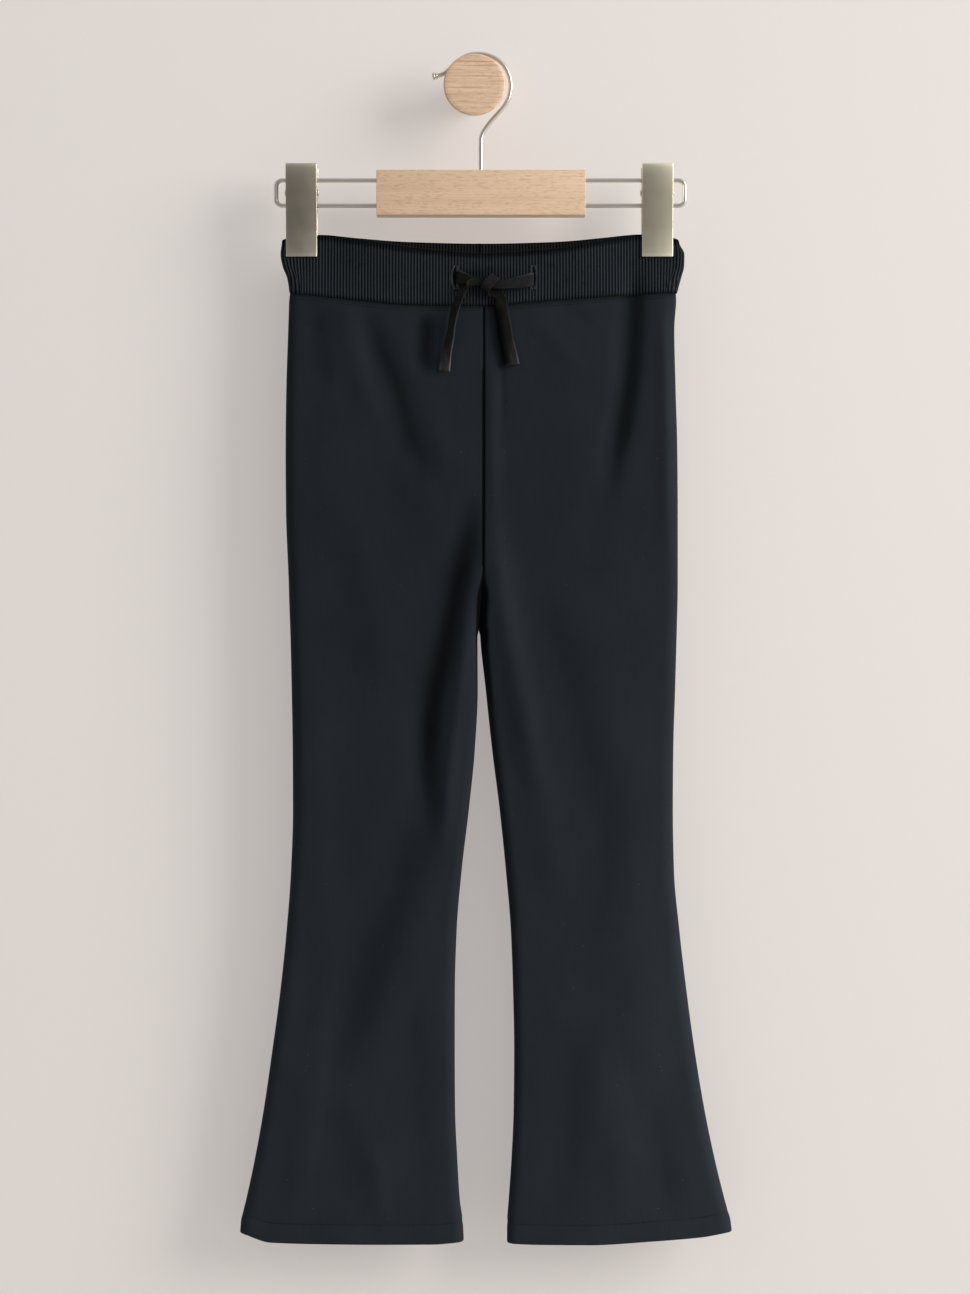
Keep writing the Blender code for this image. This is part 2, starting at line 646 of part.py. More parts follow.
def make_tape(name, route, material, collection):
    """A flat tape along a route: a six-sided section swept from point to point."""
    line = curve_through(route, 3)
    points = [(x, cloth_face(x, z) - out, z) for x, z, out, turn in line]
    bm = bmesh.new()
    rings = []
    for k, point in enumerate(points):
        ahead = points[min(k + 1, len(points) - 1)]
        back = points[max(k - 1, 0)]
        run = [a - b for a, b in zip(ahead, back)]
        size = math.hypot(run[0], run[2])
        wide = (run[2] / size, 0.0, -run[0] / size)
        turn = math.radians(line[k][3])
        across = (wide[0] * math.cos(turn), math.sin(turn), wide[2] * math.cos(turn))
        length = math.sqrt(sum(c * c for c in run))
        along = [c / length for c in run]
        thick = (across[1] * along[2] - across[2] * along[1], across[2] * along[0] - across[0] * along[2],
                 across[0] * along[1] - across[1] * along[0])
        rings.append([bm.verts.new([(p + a * u * TAPE_WIDTH + t * v * TAPE_THICK) * MM
                                    for p, a, t in zip(point, across, thick)]) for u, v in TAPE_SECTION])
    for low, high in zip(rings, rings[1:]):
        for i in range(len(TAPE_SECTION)):
            j = (i + 1) % len(TAPE_SECTION)
            bm.faces.new((low[i], low[j], high[j], high[i]))
    bm.faces.new(reversed(rings[0]))
    bm.faces.new(rings[-1])
    bmesh.ops.recalc_face_normals(bm, faces=bm.faces)
    return add_object(name, mesh_from(name, bm), material, collection)


def make_knot(material, collection):
    """The half knot: the crossed tapes as a rounded core with one turn wrapped over it."""
    x, z = KNOT_CENTRE
    centre = (x * MM, (cloth_face(x, z) - KNOT_OUT) * MM, z * MM)
    bm = bmesh.new()
    bmesh.ops.create_uvsphere(bm, u_segments=16, v_segments=10, radius=1.0)
    bmesh.ops.scale(bm, vec=[half * MM for half in KNOT_HALF], verts=bm.verts)
    bmesh.ops.translate(bm, vec=centre, verts=bm.verts)
    knot = add_object("drawstring_knot", mesh_from("drawstring_knot", bm), material, collection)
    bm = bmesh.new()
    bmesh.ops.create_cone(bm, cap_ends=True, segments=20, radius1=1.0, radius2=1.0,
                          depth=WRAP_WIDTH / WRAP_HALF[1])
    rims = [edge for edge in bm.edges if len({v.co.z > 0 for v in edge.verts}) == 1]
    bmesh.ops.bevel(bm, geom=rims, offset=WRAP_EASE, offset_type="OFFSET", segments=1, affect="EDGES",
                    profile=0.5, material=-1)
    bmesh.ops.rotate(bm, matrix=Matrix.Rotation(math.radians(90 - WRAP_TILT), 3, "Y"), verts=bm.verts)
    bmesh.ops.scale(bm, vec=(WRAP_HALF[1] * MM, WRAP_HALF[0] * MM, WRAP_HALF[1] * MM), verts=bm.verts)
    bmesh.ops.translate(bm, vec=centre, verts=bm.verts)
    wrap = add_object("wrap", mesh_from("wrap", bm), material, collection)
    combine(knot, wrap, "UNION")
    round_shading(knot)
    return knot


# Hard pieces

def make_box(name, size, centre, bevel, material, collection):
    bm = bmesh.new()
    bmesh.ops.create_cube(bm, size=1.0)
    bmesh.ops.scale(bm, vec=[s * MM for s in size], verts=bm.verts)
    bmesh.ops.translate(bm, vec=[c * MM for c in centre], verts=bm.verts)
    box = add_object(name, mesh_from(name, bm), material, collection)
    if bevel:
        modifier = box.modifiers.new("eased edges", "BEVEL")
        modifier.width = bevel * MM
        modifier.segments = 2
        apply_modifiers(box)
    return box


def make_rod(name, radius, length, centre, axis, material, collection, sides=24):
    """A closed cylinder along the X or Z axis."""
    bm = bmesh.new()
    bmesh.ops.create_cone(bm, cap_ends=True, segments=sides, radius1=radius * MM, radius2=radius * MM,
                          depth=length * MM)
    rod = add_object(name, mesh_from(name, bm), material, collection)
    if axis == "X":
        rod.rotation_euler = (0.0, math.pi / 2, 0.0)
    rod.location = [c * MM for c in centre]
    round_shading(rod)
    return rod


def make_wire(name, points, headed, closed, material, collection):
    """A round wire as a poly spline with filled ends, its first points swelled to a head."""
    curve = bpy.data.curves.new(name, "CURVE")
    curve.dimensions = "3D"
    curve.bevel_depth = WIRE_R * MM
    curve.bevel_resolution = 2
    curve.use_fill_caps = not closed
    spline = curve.splines.new("POLY")
    spline.points.add(len(points) - 1)
    for k, (place, point) in enumerate(zip(spline.points, points)):
        place.co = (*[c * MM for c in point], 1.0)
        place.radius = HOOK_HEAD if k < headed else 1.0
    spline.use_cyclic_u = closed
    wire = bpy.data.objects.new(name, curve)
    curve.materials.append(material)
    collection.objects.link(wire)
    return wire


def make_peg(material, collection):
    """The turned peg, with a seat for the hook's wire behind the rim of its face."""
    bm = bmesh.new()
    line = [(0.0, 0.0)] + list(PEG_PROFILE) + [(0.0, PEG_PROFILE[-1][1])]
    verts = [bm.verts.new((radius * MM, 0.0, -out * MM)) for radius, out in line]
    for a, b in zip(verts, verts[1:]):
        bm.edges.new((a, b))
    peg = add_object("wall_peg", mesh_from("wall_peg", bm), material, collection)
    turn = peg.modifiers.new("turned", "SCREW")
    turn.steps = PEG_STEPS
    turn.render_steps = PEG_STEPS
    turn.axis = "Z"
    turn.use_merge_vertices = True
    turn.merge_threshold = 0.00001
    peg.rotation_euler = (-math.pi / 2, 0.0, 0.0)
    return peg


def make_bar(material, collection):
    """The wooden bar, bored for the wire loop's two rods and for the hook."""
    width, depth, height = BAR_SIZE
    middle = (BAR_X, HANG_Y, BAR_TOP - height / 2)
    bar = make_box("hanger_block", BAR_SIZE, middle, BAR_EASE, material, collection)
    bores = [(width * 1.1, (BAR_X, HANG_Y, z), "X") for z in (ROD_TOP_Z, ROD_LOW_Z)]
    bores.append((HOOK_SEAT * 2, (BAR_X, HANG_Y, BAR_TOP), "Z"))
    for length, centre, axis in bores:
        bore = make_rod("bore", WIRE_HOLE_R, length, centre, axis, material, collection, 16)
        combine(bar, bore, "DIFFERENCE")
    return bar


def loop_points():
    """Middle line of the wire loop, a long rectangle with rounded corners."""
    corners = ((ROD_ENDS[1], ROD_TOP_Z, 0), (ROD_ENDS[0], ROD_TOP_Z, 90), (ROD_ENDS[0], ROD_LOW_Z, 180),
               (ROD_ENDS[1], ROD_LOW_Z, 270))
    points = []
    for x, z, start in corners:
        middle_x = x - math.copysign(ROD_CORNER, x)
        middle_z = z + (-ROD_CORNER if z == ROD_TOP_Z else ROD_CORNER)
        for k in range(6):
            angle = math.radians(start + 18 * k)
            x_here = middle_x + ROD_CORNER * math.cos(angle)
            points.append((x_here, HANG_Y, middle_z + ROD_CORNER * math.sin(angle)))
    return points


def make_outline_plate(name, outline, half, middle, out, material, collection):
    """A flat plate from an outline of (distance from the mid plane, z) points, thick along X."""
    bm = bmesh.new()
    verts = [bm.verts.new(((middle - half) * MM, (HANG_Y + out * d) * MM, z * MM)) for d, z in outline]
    face = bm.faces.new(verts)
    grown = bmesh.ops.extrude_face_region(bm, geom=[face])
    moved = [item for item in grown["geom"] if isinstance(item, bmesh.types.BMVert)]
    bmesh.ops.translate(bm, vec=(half * 2 * MM, 0.0, 0.0), verts=moved)
    bmesh.ops.recalc_face_normals(bm, faces=bm.faces)
    return add_object(name, mesh_from(name, bm), material, collection)


def plate_distance(z):
    """Distance of a clip plate's inner face from the mid plane."""
    if z <= CLIP_BEND:
        return JAW
    return mix(JAW, CLIP_SPREAD, (z - CLIP_BEND) / (CLIP_TOP - CLIP_BEND))


def make_clip_half(side, face, material, collection):
    """A bent plate with two ears that reach between the rods to the pivot pin."""
    out = -1.0 if face == "front" else 1.0
    x = CLIP_X[side]
    levels = (CLIP_FOOT, CLIP_BEND, CLIP_TOP)
    outline = [(plate_distance(z), z) for z in levels]
    outline += [(plate_distance(z) + PLATE, z) for z in reversed(levels)]
    plate = make_outline_plate(f"clip_{side}_{face}", outline, CLIP_HALF, x, out, material, collection)
    ear_top = ROD_TOP_Z - WIRE_R - SEAM_GAP
    ear_low = ROD_LOW_Z + WIRE_R + SEAM_GAP
    high = CLIP_TOP - EAR_CORNER
    low = CLIP_BEND + EAR_CORNER
    ear = [
        (plate_distance(high) + PLATE / 2, high),
        (ROD_CLEAR + EAR_CORNER, high),
        (ROD_CLEAR, ear_top + 2 * EAR_CORNER),
        (ROD_CLEAR, ear_top),
        (EAR_REACH + EAR_CORNER, ear_top),
        (EAR_REACH, ear_top - EAR_CORNER),
        (EAR_REACH, ear_low + EAR_CORNER),
        (EAR_REACH + EAR_CORNER, ear_low),
        (ROD_CLEAR, ear_low),
        (ROD_CLEAR, low),
        (plate_distance(low) + PLATE / 2, low),
    ]
    ear_edge = CLIP_HALF if face == "front" else CLIP_HALF - PLATE - SEAM_GAP
    for way in (-1.0, 1.0):
        middle = x + way * (ear_edge - PLATE / 2)
        flange = make_outline_plate("ear", ear, PLATE / 2, middle, out, material, collection)
        combine(plate, flange, "UNION")
    centre = (x, HANG_Y, PIVOT_Z)
    hole = make_rod("bore", PIN_R + SEAM_GAP, CLIP_HALF * 3, centre, "X", material, collection, 16)
    combine(plate, hole, "DIFFERENCE")
    return plate


def make_pin(side, material, collection):
    """The pivot pin with a low head outside each ear."""
    x = CLIP_X[side]
    shaft = CLIP_HALF + SEAM_GAP
    top = shaft + PIN_HEAD
    profile = ((0.0, top), (PIN_HEAD_R - PIN_HEAD / 2, top), (PIN_HEAD_R, top - PIN_HEAD / 2),
               (PIN_HEAD_R, shaft), (PIN_R, shaft))
    line = list(profile) + [(r, -h) for r, h in reversed(profile)]
    bm = bmesh.new()
    verts = [bm.verts.new((r * MM, 0.0, h * MM)) for r, h in line]
    for a, b in zip(verts, verts[1:]):
        bm.edges.new((a, b))
    return turned(f"clip_{side}_pin", bm, (x, HANG_Y, PIVOT_Z), 12, material, collection)


def turned(name, bm, centre, steps, material, collection):
    """A profile turned about a line along X through a centre."""
    thing = add_object(name, mesh_from(name, bm), material, collection)
    turn = thing.modifiers.new("turned", "SCREW")
    turn.steps = steps
    turn.render_steps = steps
    turn.axis = "Z"
    turn.use_merge_vertices = True
    turn.merge_threshold = 0.00001
    thing.rotation_euler = (0.0, math.pi / 2, 0.0)
    thing.location = [c * MM for c in centre]
    return thing


def make_spring(side, material, collection):
    """The spring's wound body round the pin, its coils as grooves, with a leg to each plate."""
    x = CLIP_X[side]
    half = CLIP_HALF - 2 * PLATE - 3 * SEAM_GAP
    bore = PIN_R + SEAM_GAP
    bm = bmesh.new()
    line = [(bore, half)]
    for k in range(COILS):
        high = half - 2 * half * k / COILS
        line += [(COIL_GROOVE_R, high), (COIL_R, high - half / COILS)]
    line += [(COIL_GROOVE_R, -half), (bore, -half)]
    verts = [bm.verts.new((r * MM, 0.0, h * MM)) for r, h in line]
    for a, b in zip(verts, verts[1:] + verts[:1]):
        bm.edges.new((a, b))
    spring = turned(f"clip_{side}_spring", bm, (x, HANG_Y, PIVOT_Z), 10, material, collection)
    apply_modifiers(spring)
    foot = COIL_R - SPRING_LEG_R
    reach = plate_distance(SPRING_LEG_TOP) - 1.5 * SPRING_LEG_R
    rise = SPRING_LEG_TOP - PIVOT_Z
    for way in (-1.0, 1.0):
        centre = (x + way * (half - 2 * SPRING_LEG_R), HANG_Y + way * (foot + reach) / 2, PIVOT_Z + rise / 2)
        length = math.hypot(reach - foot, rise)
        leg = make_rod("leg", SPRING_LEG_R, length, centre, "Z", material, collection, 8)
        leg.rotation_euler = (-math.atan2(way * (reach - foot), rise), 0.0, 0.0)
        combine(spring, leg, "UNION")
    return spring


def main():
    clear_scene()
    collection = bpy.data.collections.new("flared_joggers_on_hanger")
    bpy.context.scene.collection.children.link(collection)
    finish = {name: make_material(name) for name in COLOURS}

    for side in ("left", "right"):
        for face in ("front", "back"):
            outer, inner = leg_panel(side, face)
            name = f"{face}_{side}_leg"
            panel = add_object(name, wall_mesh(name, outer, inner), finish["jersey"], collection)
            round_shading(panel)

    round_shading(make_waistband(finish["rib"], collection))
    make_tape("drawstring_run_left", RUN_LEFT, finish["tape"], collection)
    make_tape("drawstring_run_right", RUN_RIGHT, finish["tape"], collection)
    make_tape("drawstring_end_left", END_LEFT, finish["tape"], collection)
    make_tape("drawstring_end_right", END_RIGHT, finish["tape"], collection)
    make_knot(finish["tape"], collection)

    make_bar(finish["beech"], collection)
    make_wire("hanger_wire", loop_points(), 0, True, finish["nickel"], collection)
    route = curve_through(HOOK_ROUTE, 2) + [(BAR_X, BAR_TOP - HOOK_SEAT + SEAM_GAP)]
    hook = [(x, HANG_Y, z) for x, z in route]
    make_wire("hanger_hook", hook, 2, False, finish["nickel"], collection)
    for side in ("left", "right"):
        make_clip_half(side, "front", finish["plate"], collection)
        make_clip_half(side, "back", finish["plate"], collection)
        make_pin(side, finish["nickel"], collection)
        make_spring(side, finish["nickel"], collection)
    make_peg(finish["beech"], collection)


main()
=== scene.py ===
# Child's flared joggers on a clip hanger and a wooden wall peg.
# Sizes are in millimetres; mm turns them into metres. The front faces -Y, +X is to the right, +Z is up.
import math
import random

import bmesh
import bpy
import numpy as np
from mathutils import Matrix, Vector


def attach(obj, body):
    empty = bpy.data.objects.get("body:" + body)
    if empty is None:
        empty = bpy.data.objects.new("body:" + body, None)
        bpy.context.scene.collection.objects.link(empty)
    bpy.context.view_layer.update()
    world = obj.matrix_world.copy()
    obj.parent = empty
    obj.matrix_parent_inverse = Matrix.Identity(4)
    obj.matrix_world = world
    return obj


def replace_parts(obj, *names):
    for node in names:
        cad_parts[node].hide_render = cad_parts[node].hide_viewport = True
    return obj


mm = 0.001
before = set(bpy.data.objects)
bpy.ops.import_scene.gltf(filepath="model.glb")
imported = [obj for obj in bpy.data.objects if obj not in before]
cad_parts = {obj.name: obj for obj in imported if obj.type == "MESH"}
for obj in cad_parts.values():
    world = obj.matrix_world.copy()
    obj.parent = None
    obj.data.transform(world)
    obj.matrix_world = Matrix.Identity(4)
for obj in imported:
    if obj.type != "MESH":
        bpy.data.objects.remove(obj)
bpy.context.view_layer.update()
scene = bpy.context.scene

# Camera, level and straight on, 2 m in front of the cloth
cameraSet = {"place": (7.6, -2035.0, -403.9), "lens": 77.3, "sensor": 36.0}
cameraData = bpy.data.cameras.new("camera")
cameraData.lens = cameraSet["lens"]
cameraData.sensor_width = cameraSet["sensor"]
cameraData.clip_start = 0.05
cameraData.clip_end = 60.0
camera = bpy.data.objects.new("camera", cameraData)
camera.location = [c * mm for c in cameraSet["place"]]
camera.rotation_euler = (math.pi / 2, 0.0, 0.0)
scene.collection.objects.link(camera)
scene.camera = camera
print("camera placed")


# Curves and tables

def blend(a, b, t):
    return a + (b - a) * t


def softStep(low, high, value):
    t = np.clip((value - low) / (high - low), 0.0, 1.0)
    return t * t * (3.0 - 2.0 * t)


def smoothColumns(columns, rows, samples=2400):
    # every column of a table as a smooth curve over its first one, never past its rows
    table = np.array(sorted(rows))
    keys = table[:, 0]
    at = np.linspace(keys[0], keys[-1], samples)
    i = np.clip(np.searchsorted(keys, at, side="right") - 1, 0, len(keys) - 2)
    span = keys[i + 1] - keys[i]
    t = (at - keys[i]) / span
    curves = {}
    for index, name in enumerate(columns[1:], 1):
        values = table[:, index]
        steps = np.diff(values) / np.diff(keys)
        slopes = np.zeros(len(keys))
        for k in range(1, len(keys) - 1):
            if steps[k - 1] * steps[k] > 0:
                slopes[k] = 2 * steps[k - 1] * steps[k] / (steps[k - 1] + steps[k])
        line = ((2 * t ** 3 - 3 * t ** 2 + 1) * values[i] + (t ** 3 - 2 * t ** 2 + t) * span * slopes[i]
                + (3 * t ** 2 - 2 * t ** 3) * values[i + 1] + (t ** 3 - t ** 2) * span * slopes[i + 1])
        curves[name] = lambda where, at=at, line=line: np.interp(where, at, line)
    return curves


def curveThrough(points, steps):
    # points of a smooth curve through given ones
    pts = [np.array(p, dtype=float) for p in points]
    pts = [2 * pts[0] - pts[1]] + pts + [2 * pts[-1] - pts[-2]]
    line = []
    for a, b, c, d in zip(pts, pts[1:], pts[2:], pts[3:]):
        for step in range(steps):
            t = step / steps
            square = 2 * a - 5 * b + 4 * c - d
            cube = 3 * b - a - 3 * c + d
            line.append(0.5 * (2 * b + (c - a) * t + square * t ** 2 + cube * t ** 3))
    line.append(pts[-2])
    return np.array(line)

# In millimetres: the mid plane of cloth and hanger in front of the wall, and the gap at every seam
hangY = -35.0
seamGap = 0.3
# which way along Y the outer face of the cloth looks, and which way along X the crotch lies
facing = {"front": -1.0, "back": 1.0}
toMiddle = {"left": 1.0, "right": -1.0}


# The cut: outline of the legs, the waist seam, the band and the hem

legCut = {
    "jersey": 1.4, "hemDepth": 14.5,
    "outerRound": 10.0, "crown": 0.15, "endPower": 2.3, "topBend": 60.0,
    "backShift": -3.0, "shiftEnds": (330.0, 390.0), "lobesBegin": (300.0, 430.0),
    "columns": ("z", "leftOuter", "leftInner", "rightInner", "rightOuter",
                "front", "back", "frontPart", "backPart"),
    "roundColumns": ("z", "left", "right"),
    "innerRounds": ((-151.0, 5.0, 5.0), (-330.0, 4.6, 5.0), (-352.0, 3.6, 5.6), (-362.0, 3.4, 7.6),
                    (-378.0, 3.8, 8.4), (-392.4, 4.6, 8.2), (-434.9, 6.6, 7.6), (-500.0, 8.2, 8.4),
                    (-802.1, 8.5, 8.5), (-832.4, 8.0, 8.0)),
    "sections": (
        (-151.0, -133.6, 6.6, 6.9, 145.6, 8.4, 8.0, 0.0, 0.0),
        (-175.7, -134.2, 6.6, 6.9, 144.0, 9.4, 9.2, 0.0, 0.0),
        (-218.9, -135.5, 6.5, 6.8, 144.9, 10.8, 10.6, 0.0, 0.0),
        (-262.1, -136.0, 6.5, 6.8, 146.1, 11.4, 11.6, 0.0, 0.0),
        (-305.3, -135.7, 6.4, 6.7, 146.4, 11.8, 12.2, 0.0, 0.0),
        (-350.6, -134.0, 6.3, 6.6, 146.4, 12.2, 12.6, 0.0, 0.0),
        (-358.0, -133.7, 5.4, 5.7, 146.4, 12.2, 12.6, 0.45, 0.0),
        (-370.1, -133.4, 4.4, 4.7, 146.3, 12.2, 12.6, 0.85, 0.3),
        (-381.5, -133.0, 3.4, 3.8, 146.0, 12.1, 12.5, 0.96, 0.8),
        (-392.4, -132.6, 2.3, 3.9, 145.7, 12.0, 12.4, 1.0, 1.0),
        (-434.9, -131.6, 2.5, 8.0, 144.5, 11.8, 12.0, 1.0, 1.0),
        (-478.1, -130.9, 0.4, 12.6, 143.2, 11.5, 11.6, 1.0, 1.0),
        (-521.3, -130.7, -3.9, 18.0, 142.9, 11.2, 11.3, 1.0, 1.0),
        (-564.5, -132.1, -9.0, 22.4, 143.7, 11.0, 11.0, 1.0, 1.0),
        (-607.7, -135.3, -12.6, 26.0, 147.6, 10.8, 10.8, 1.0, 1.0),
        (-650.9, -139.8, -13.9, 27.6, 152.7, 10.6, 10.6, 1.0, 1.0),
        (-694.1, -145.6, -14.0, 28.4, 158.6, 10.4, 10.4, 1.0, 1.0),
        (-737.3, -151.9, -13.7, 28.0, 165.8, 10.2, 10.2, 1.0, 1.0),
        (-773.3, -158.4, -12.1, 26.4, 173.3, 10.0, 10.0, 1.0, 1.0),
        (-802.1, -164.6, -10.3, 24.4, 180.4, 9.8, 9.8, 1.0, 1.0),
        (-817.4, -168.2, -8.2, 23.3, 184.6, 9.6, 9.7, 1.0, 1.0),
        (-832.4, -169.0, -7.5, 23.2, 185.8, 9.4, 9.6, 1.0, 1.0),
    ),
    "hemColumns": ("across", "left", "right"),
    "hemFoot": (
        (0.0, -825.3, -824.2), (0.14, -831.2, -827.4), (0.37, -832.2, -830.4),
        (0.64, -832.6, -832.9), (0.86, -832.6, -832.8), (1.0, -831.2, -832.2),
    ),
    "edgeDip": 0.45, "edgeReach": 1.3,      # the groove of a side seam
    "centreDip": 1.1, "centreReach": 0.85,  # and of the centre seams
    "touch": 0.02, "waistGap": 0.04,        # the seams' edges meet
    "closerColumns": ("z", "closer"),
    "closing": ((-151.0, 0.13), (-350.6, 0.13), (-362.0, 0.6), (-376.0, 0.9), (-391.0, 1.2),
                (-394.5, 0.0), (-832.4, 0.0)),
    # how far the painted shade of the hollow between the legs reaches over each of them
    "hollowShadeColumns": ("z", "left", "right", "dark"),
    "hollowShade": ((-151.0, 0.6, 0.6, 0.0), (-346.0, 0.6, 0.6, 0.0), (-356.0, 1.6, 2.6, 0.80), (-364.0, 3.4, 6.2, 0.97),
               (-374.0, 3.8, 7.6, 0.98), (-392.0, 2.6, 8.0, 0.98), (-398.0, 1.2, 7.0, 0.90), (-430.0, 0.9, 5.6, 0.66),
               (-470.0, 0.9, 4.2, 0.45), (-530.0, 0.8, 3.6, 0.32), (-832.4, 0.8, 2.4, 0.25)),
    "foldShade": 0.13, "ridgeLight": 0.045,        # painted shade in the folds and painted light on the ridges
    # painted light makes the cloth lighter down the legs and on its right; the right tape end stands off it over a
    # painted shadow line
    "paintedLightFoot": 0.30, "paintedLightFrom": 260.0, "paintedLightRight": 0.14,
    "tapeShadowLine": {"x": 14.4, "z": -151.0, "slope": -0.136, "foot": -204.0, "wide": 1.9, "dark": 0.85},
}
bandCut = {
    "wall": 2.6, "ribs": 264, "ribPoints": 6, "relief": 0.5, "insideRelief": 0.3, "uprightPower": 24.0,
    "columns": ("x", "frontSeam", "frontTop", "backSeam", "backTop"),
    "edges": (
        (-140.0, -150.2, -110.8, -150.2, -110.8), (-124.0, -151.2, -107.6, -150.8, -107.6),
        (-110.0, -152.6, -107.5, -151.2, -107.3), (-85.0, -155.4, -110.6, -151.8, -108.9),
        (-45.0, -158.9, -117.0, -152.6, -111.4), (6.0, -159.4, -121.0, -153.0, -112.5),
        (55.0, -155.8, -118.2, -152.6, -111.4), (92.0, -153.0, -111.6, -151.8, -108.8),
        (118.0, -151.2, -107.2, -151.0, -106.9), (132.0, -150.4, -107.2, -150.2, -107.2),
        (150.0, -149.6, -111.0, -149.6, -111.0),
    ),
    "sideColumns": ("level", "left", "right", "round", "depth"),
    "sides": (
        (0.0, -133.3, 146.3, 9.0, 8.6), (0.28, -134.6, 148.6, 7.0, 8.4), (0.54, -138.2, 151.0, 4.2, 8.5),
        (0.76, -139.6, 151.2, 3.5, 8.7), (1.0, -138.6, 147.2, 3.4, 8.8),
    ),
    "slits": ({"x": -13.2, "z": -138.9, "bow": -1.3}, {"x": 42.0, "z": -138.9, "bow": 0.5}),
    "slitHalf": 8.6, "slitWide": 1.3, "slitDeep": 2.0,
}
clipCut = {
    "x": {"left": -124.2, "right": 131.5}, "half": 11.2, "top": -57.3, "bend": -104.0, "foot": -123.5,
    "plate": 1.2, "pinched": 2.85, "pinchedLeg": 4.05, "bandEnd": 3.4, "margin": 1.6, "pressReach": 62.0,
    "pressBelow": ((0.0, 30.0, 0.75), (20.0, 90.0, 0.25)), "spread": 9.0, "pivotZ": -77.1,
    "pinRadius": 1.5, "earReach": -3.4, "earCorner": 2.5, "rodClear": 2.2,
}
# Soft folds on each face: the line along which each lies, its half width and its height
softFoldColumns = ("line", "wide", "high")
softFolds = {
    "front": (
        # the deep valley left of the crotch and its soft end across the shin
        (((-6, -316), (-10, -338), (-15, -360), (-20, -388), (-25, -410), (-31, -434), (-35, -460), (-36, -490),
          (-34, -524)), 8.4, -7.4),
        (((-18, -330), (-30, -372), (-38, -412), (-46, -456)), 12.0, -1.6),
        (((-33, -512), (-49, -555), (-62, -600), (-90, -680), (-96, -710)), 16.0, -2.6),
        (((-3, -378), (-8, -420), (-16, -480), (-22, -545)), 5.5, 2.4),
        # ridge and shade of the right thigh
        (((14, -320), (19, -362), (26, -402), (36, -450), (46, -510)), 9.5, 3.4),
        (((50, -368), (62, -410), (78, -470), (92, -520)), 14.0, -1.7),
        (((12, -210), (13, -260), (15, -318)), 5.0, 1.6),
        (((19, -198), (20, -222), (20, -246)), 2.6, -0.9),
        # trough under the right clip and the ridge beside it
        (((114, -126), (113, -150), (112, -175), (110, -206), (105, -240), (100, -264), (96, -290)), 7.6, -5.8),
        (((134, -156), (137, -200), (138, -260), (138, -330)), 6.0, 1.8),
        (((94, -290), (84, -330), (80, -370)), 14.0, -0.8),
        # dimple by the drawstring, the slanting valley beside it and the hip's small dents
        (((-36, -168), (-37, -190), (-36, -206)), 6.0, -4.4),
        (((-76, -172), (-70, -192), (-58, -220), (-49, -256), (-34, -280)), 8.5, -2.8),
        (((-94, -160), (-86, -190), (-74, -240)), 9.0, 1.6),
        (((-112, -160), (-114, -182), (-108, -215)), 8.0, -1.3),
        (((-126, -171), (-108, -175)), 2.5, -0.7),
        (((-30, -226), (-26, -250), (-18, -276)), 8.0, 1.0),
        (((36, -168), (52, -176), (76, -204)), 7.0, 1.0),
        (((62, -158), (84, -172)), 5.0, -0.8),
        (((-100, -322), (-88, -380), (-84, -440)), 14.0, -0.9),
        (((-112, -420), (-112, -520), (-110, -620)), 12.0, 0.9),
        # shins and flares
        (((50, -490), (54, -530), (58, -580)), 11.0, 1.3),
        (((96, -500), (94, -560), (90, -610)), 13.0, -1.1),
        (((116, -560), (118, -640), (128, -720)), 13.0, 1.0),
        (((72, -680), (70, -745), (62, -806)), 13.0, -1.6),
        (((98, -700), (104, -760), (112, -815)), 13.0, 1.0),
        (((128, -740), (136, -790), (142, -815)), 9.0, -0.9),
        (((-104, -640), (-118, -740), (-128, -815)), 11.0, 1.0),
        (((-104, -730), (-90, -776), (-84, -806)), 13.0, -1.1),
        (((-72, -762), (-68, -790), (-64, -822)), 7.0, 0.9),
        (((-44, -660), (-40, -740), (-36, -815)), 9.0, -0.8),
        # fine creases
        (((-120, -236), (-96, -246), (-84, -248)), 2.2, -0.3),
        (((60, -262), (80, -256), (94, -262)), 2.4, -0.3),
        (((-60, -410), (-46, -416), (-38, -414)), 2.6, -0.35),
        (((64, -352), (92, -346), (112, -352)), 3.0, -0.35),
        (((26, -428), (40, -420), (54, -420)), 2.4, -0.3),
        (((-96, -568), (-76, -560), (-64, -562)), 3.0, -0.3),
        (((70, -612), (88, -606), (104, -610)), 3.0, -0.3),
    ),
    "back": (
        (((-6, -345), (-22, -410), (-44, -480)), 9.0, -4.0),
        (((16, -345), (32, -405), (52, -470)), 9.0, -3.6),
        (((-44, -474), (-58, -540), (-66, -600)), 13.0, -1.8),
        (((52, -464), (64, -530), (84, -600)), 13.0, -1.6),
        (((-114, -152), (-108, -250)), 8.0, -3.2),
        (((116, -152), (112, -240)), 8.0, -3.4),
        (((-60, -640), (-67, -710), (-74, -780)), 16.0, 1.6),
        (((84, -640), (92, -710), (100, -780)), 16.0, 1.6),
        (((-40, -165), (-34, -215)), 8.0, -2.0),
        (((52, -165), (46, -225)), 9.0, -2.0),
        (((-90, -300), (-60, -345), (-30, -372)), 9.0, 1.3),
        (((98, -290), (70, -340), (40, -368)), 8.0, 1.2),
        (((-76, -170), (-60, -222), (-40, -262)), 9.0, -1.4),
        (((-24, -360), (-10, -372), (-2, -390)), 3.0, -0.5),
    ),
}
legCurves = smoothColumns(legCut["columns"], legCut["sections"])
roundCurves = smoothColumns(legCut["roundColumns"], legCut["innerRounds"])
hollowShadeCurves = smoothColumns(legCut["hollowShadeColumns"], legCut["hollowShade"])
closerCurves = smoothColumns(legCut["closerColumns"], legCut["closing"])
hemCurves = smoothColumns(legCut["hemColumns"], legCut["hemFoot"])
bandCurves = smoothColumns(bandCut["columns"], bandCut["edges"])
sideCurves = smoothColumns(bandCut["sideColumns"], bandCut["sides"])


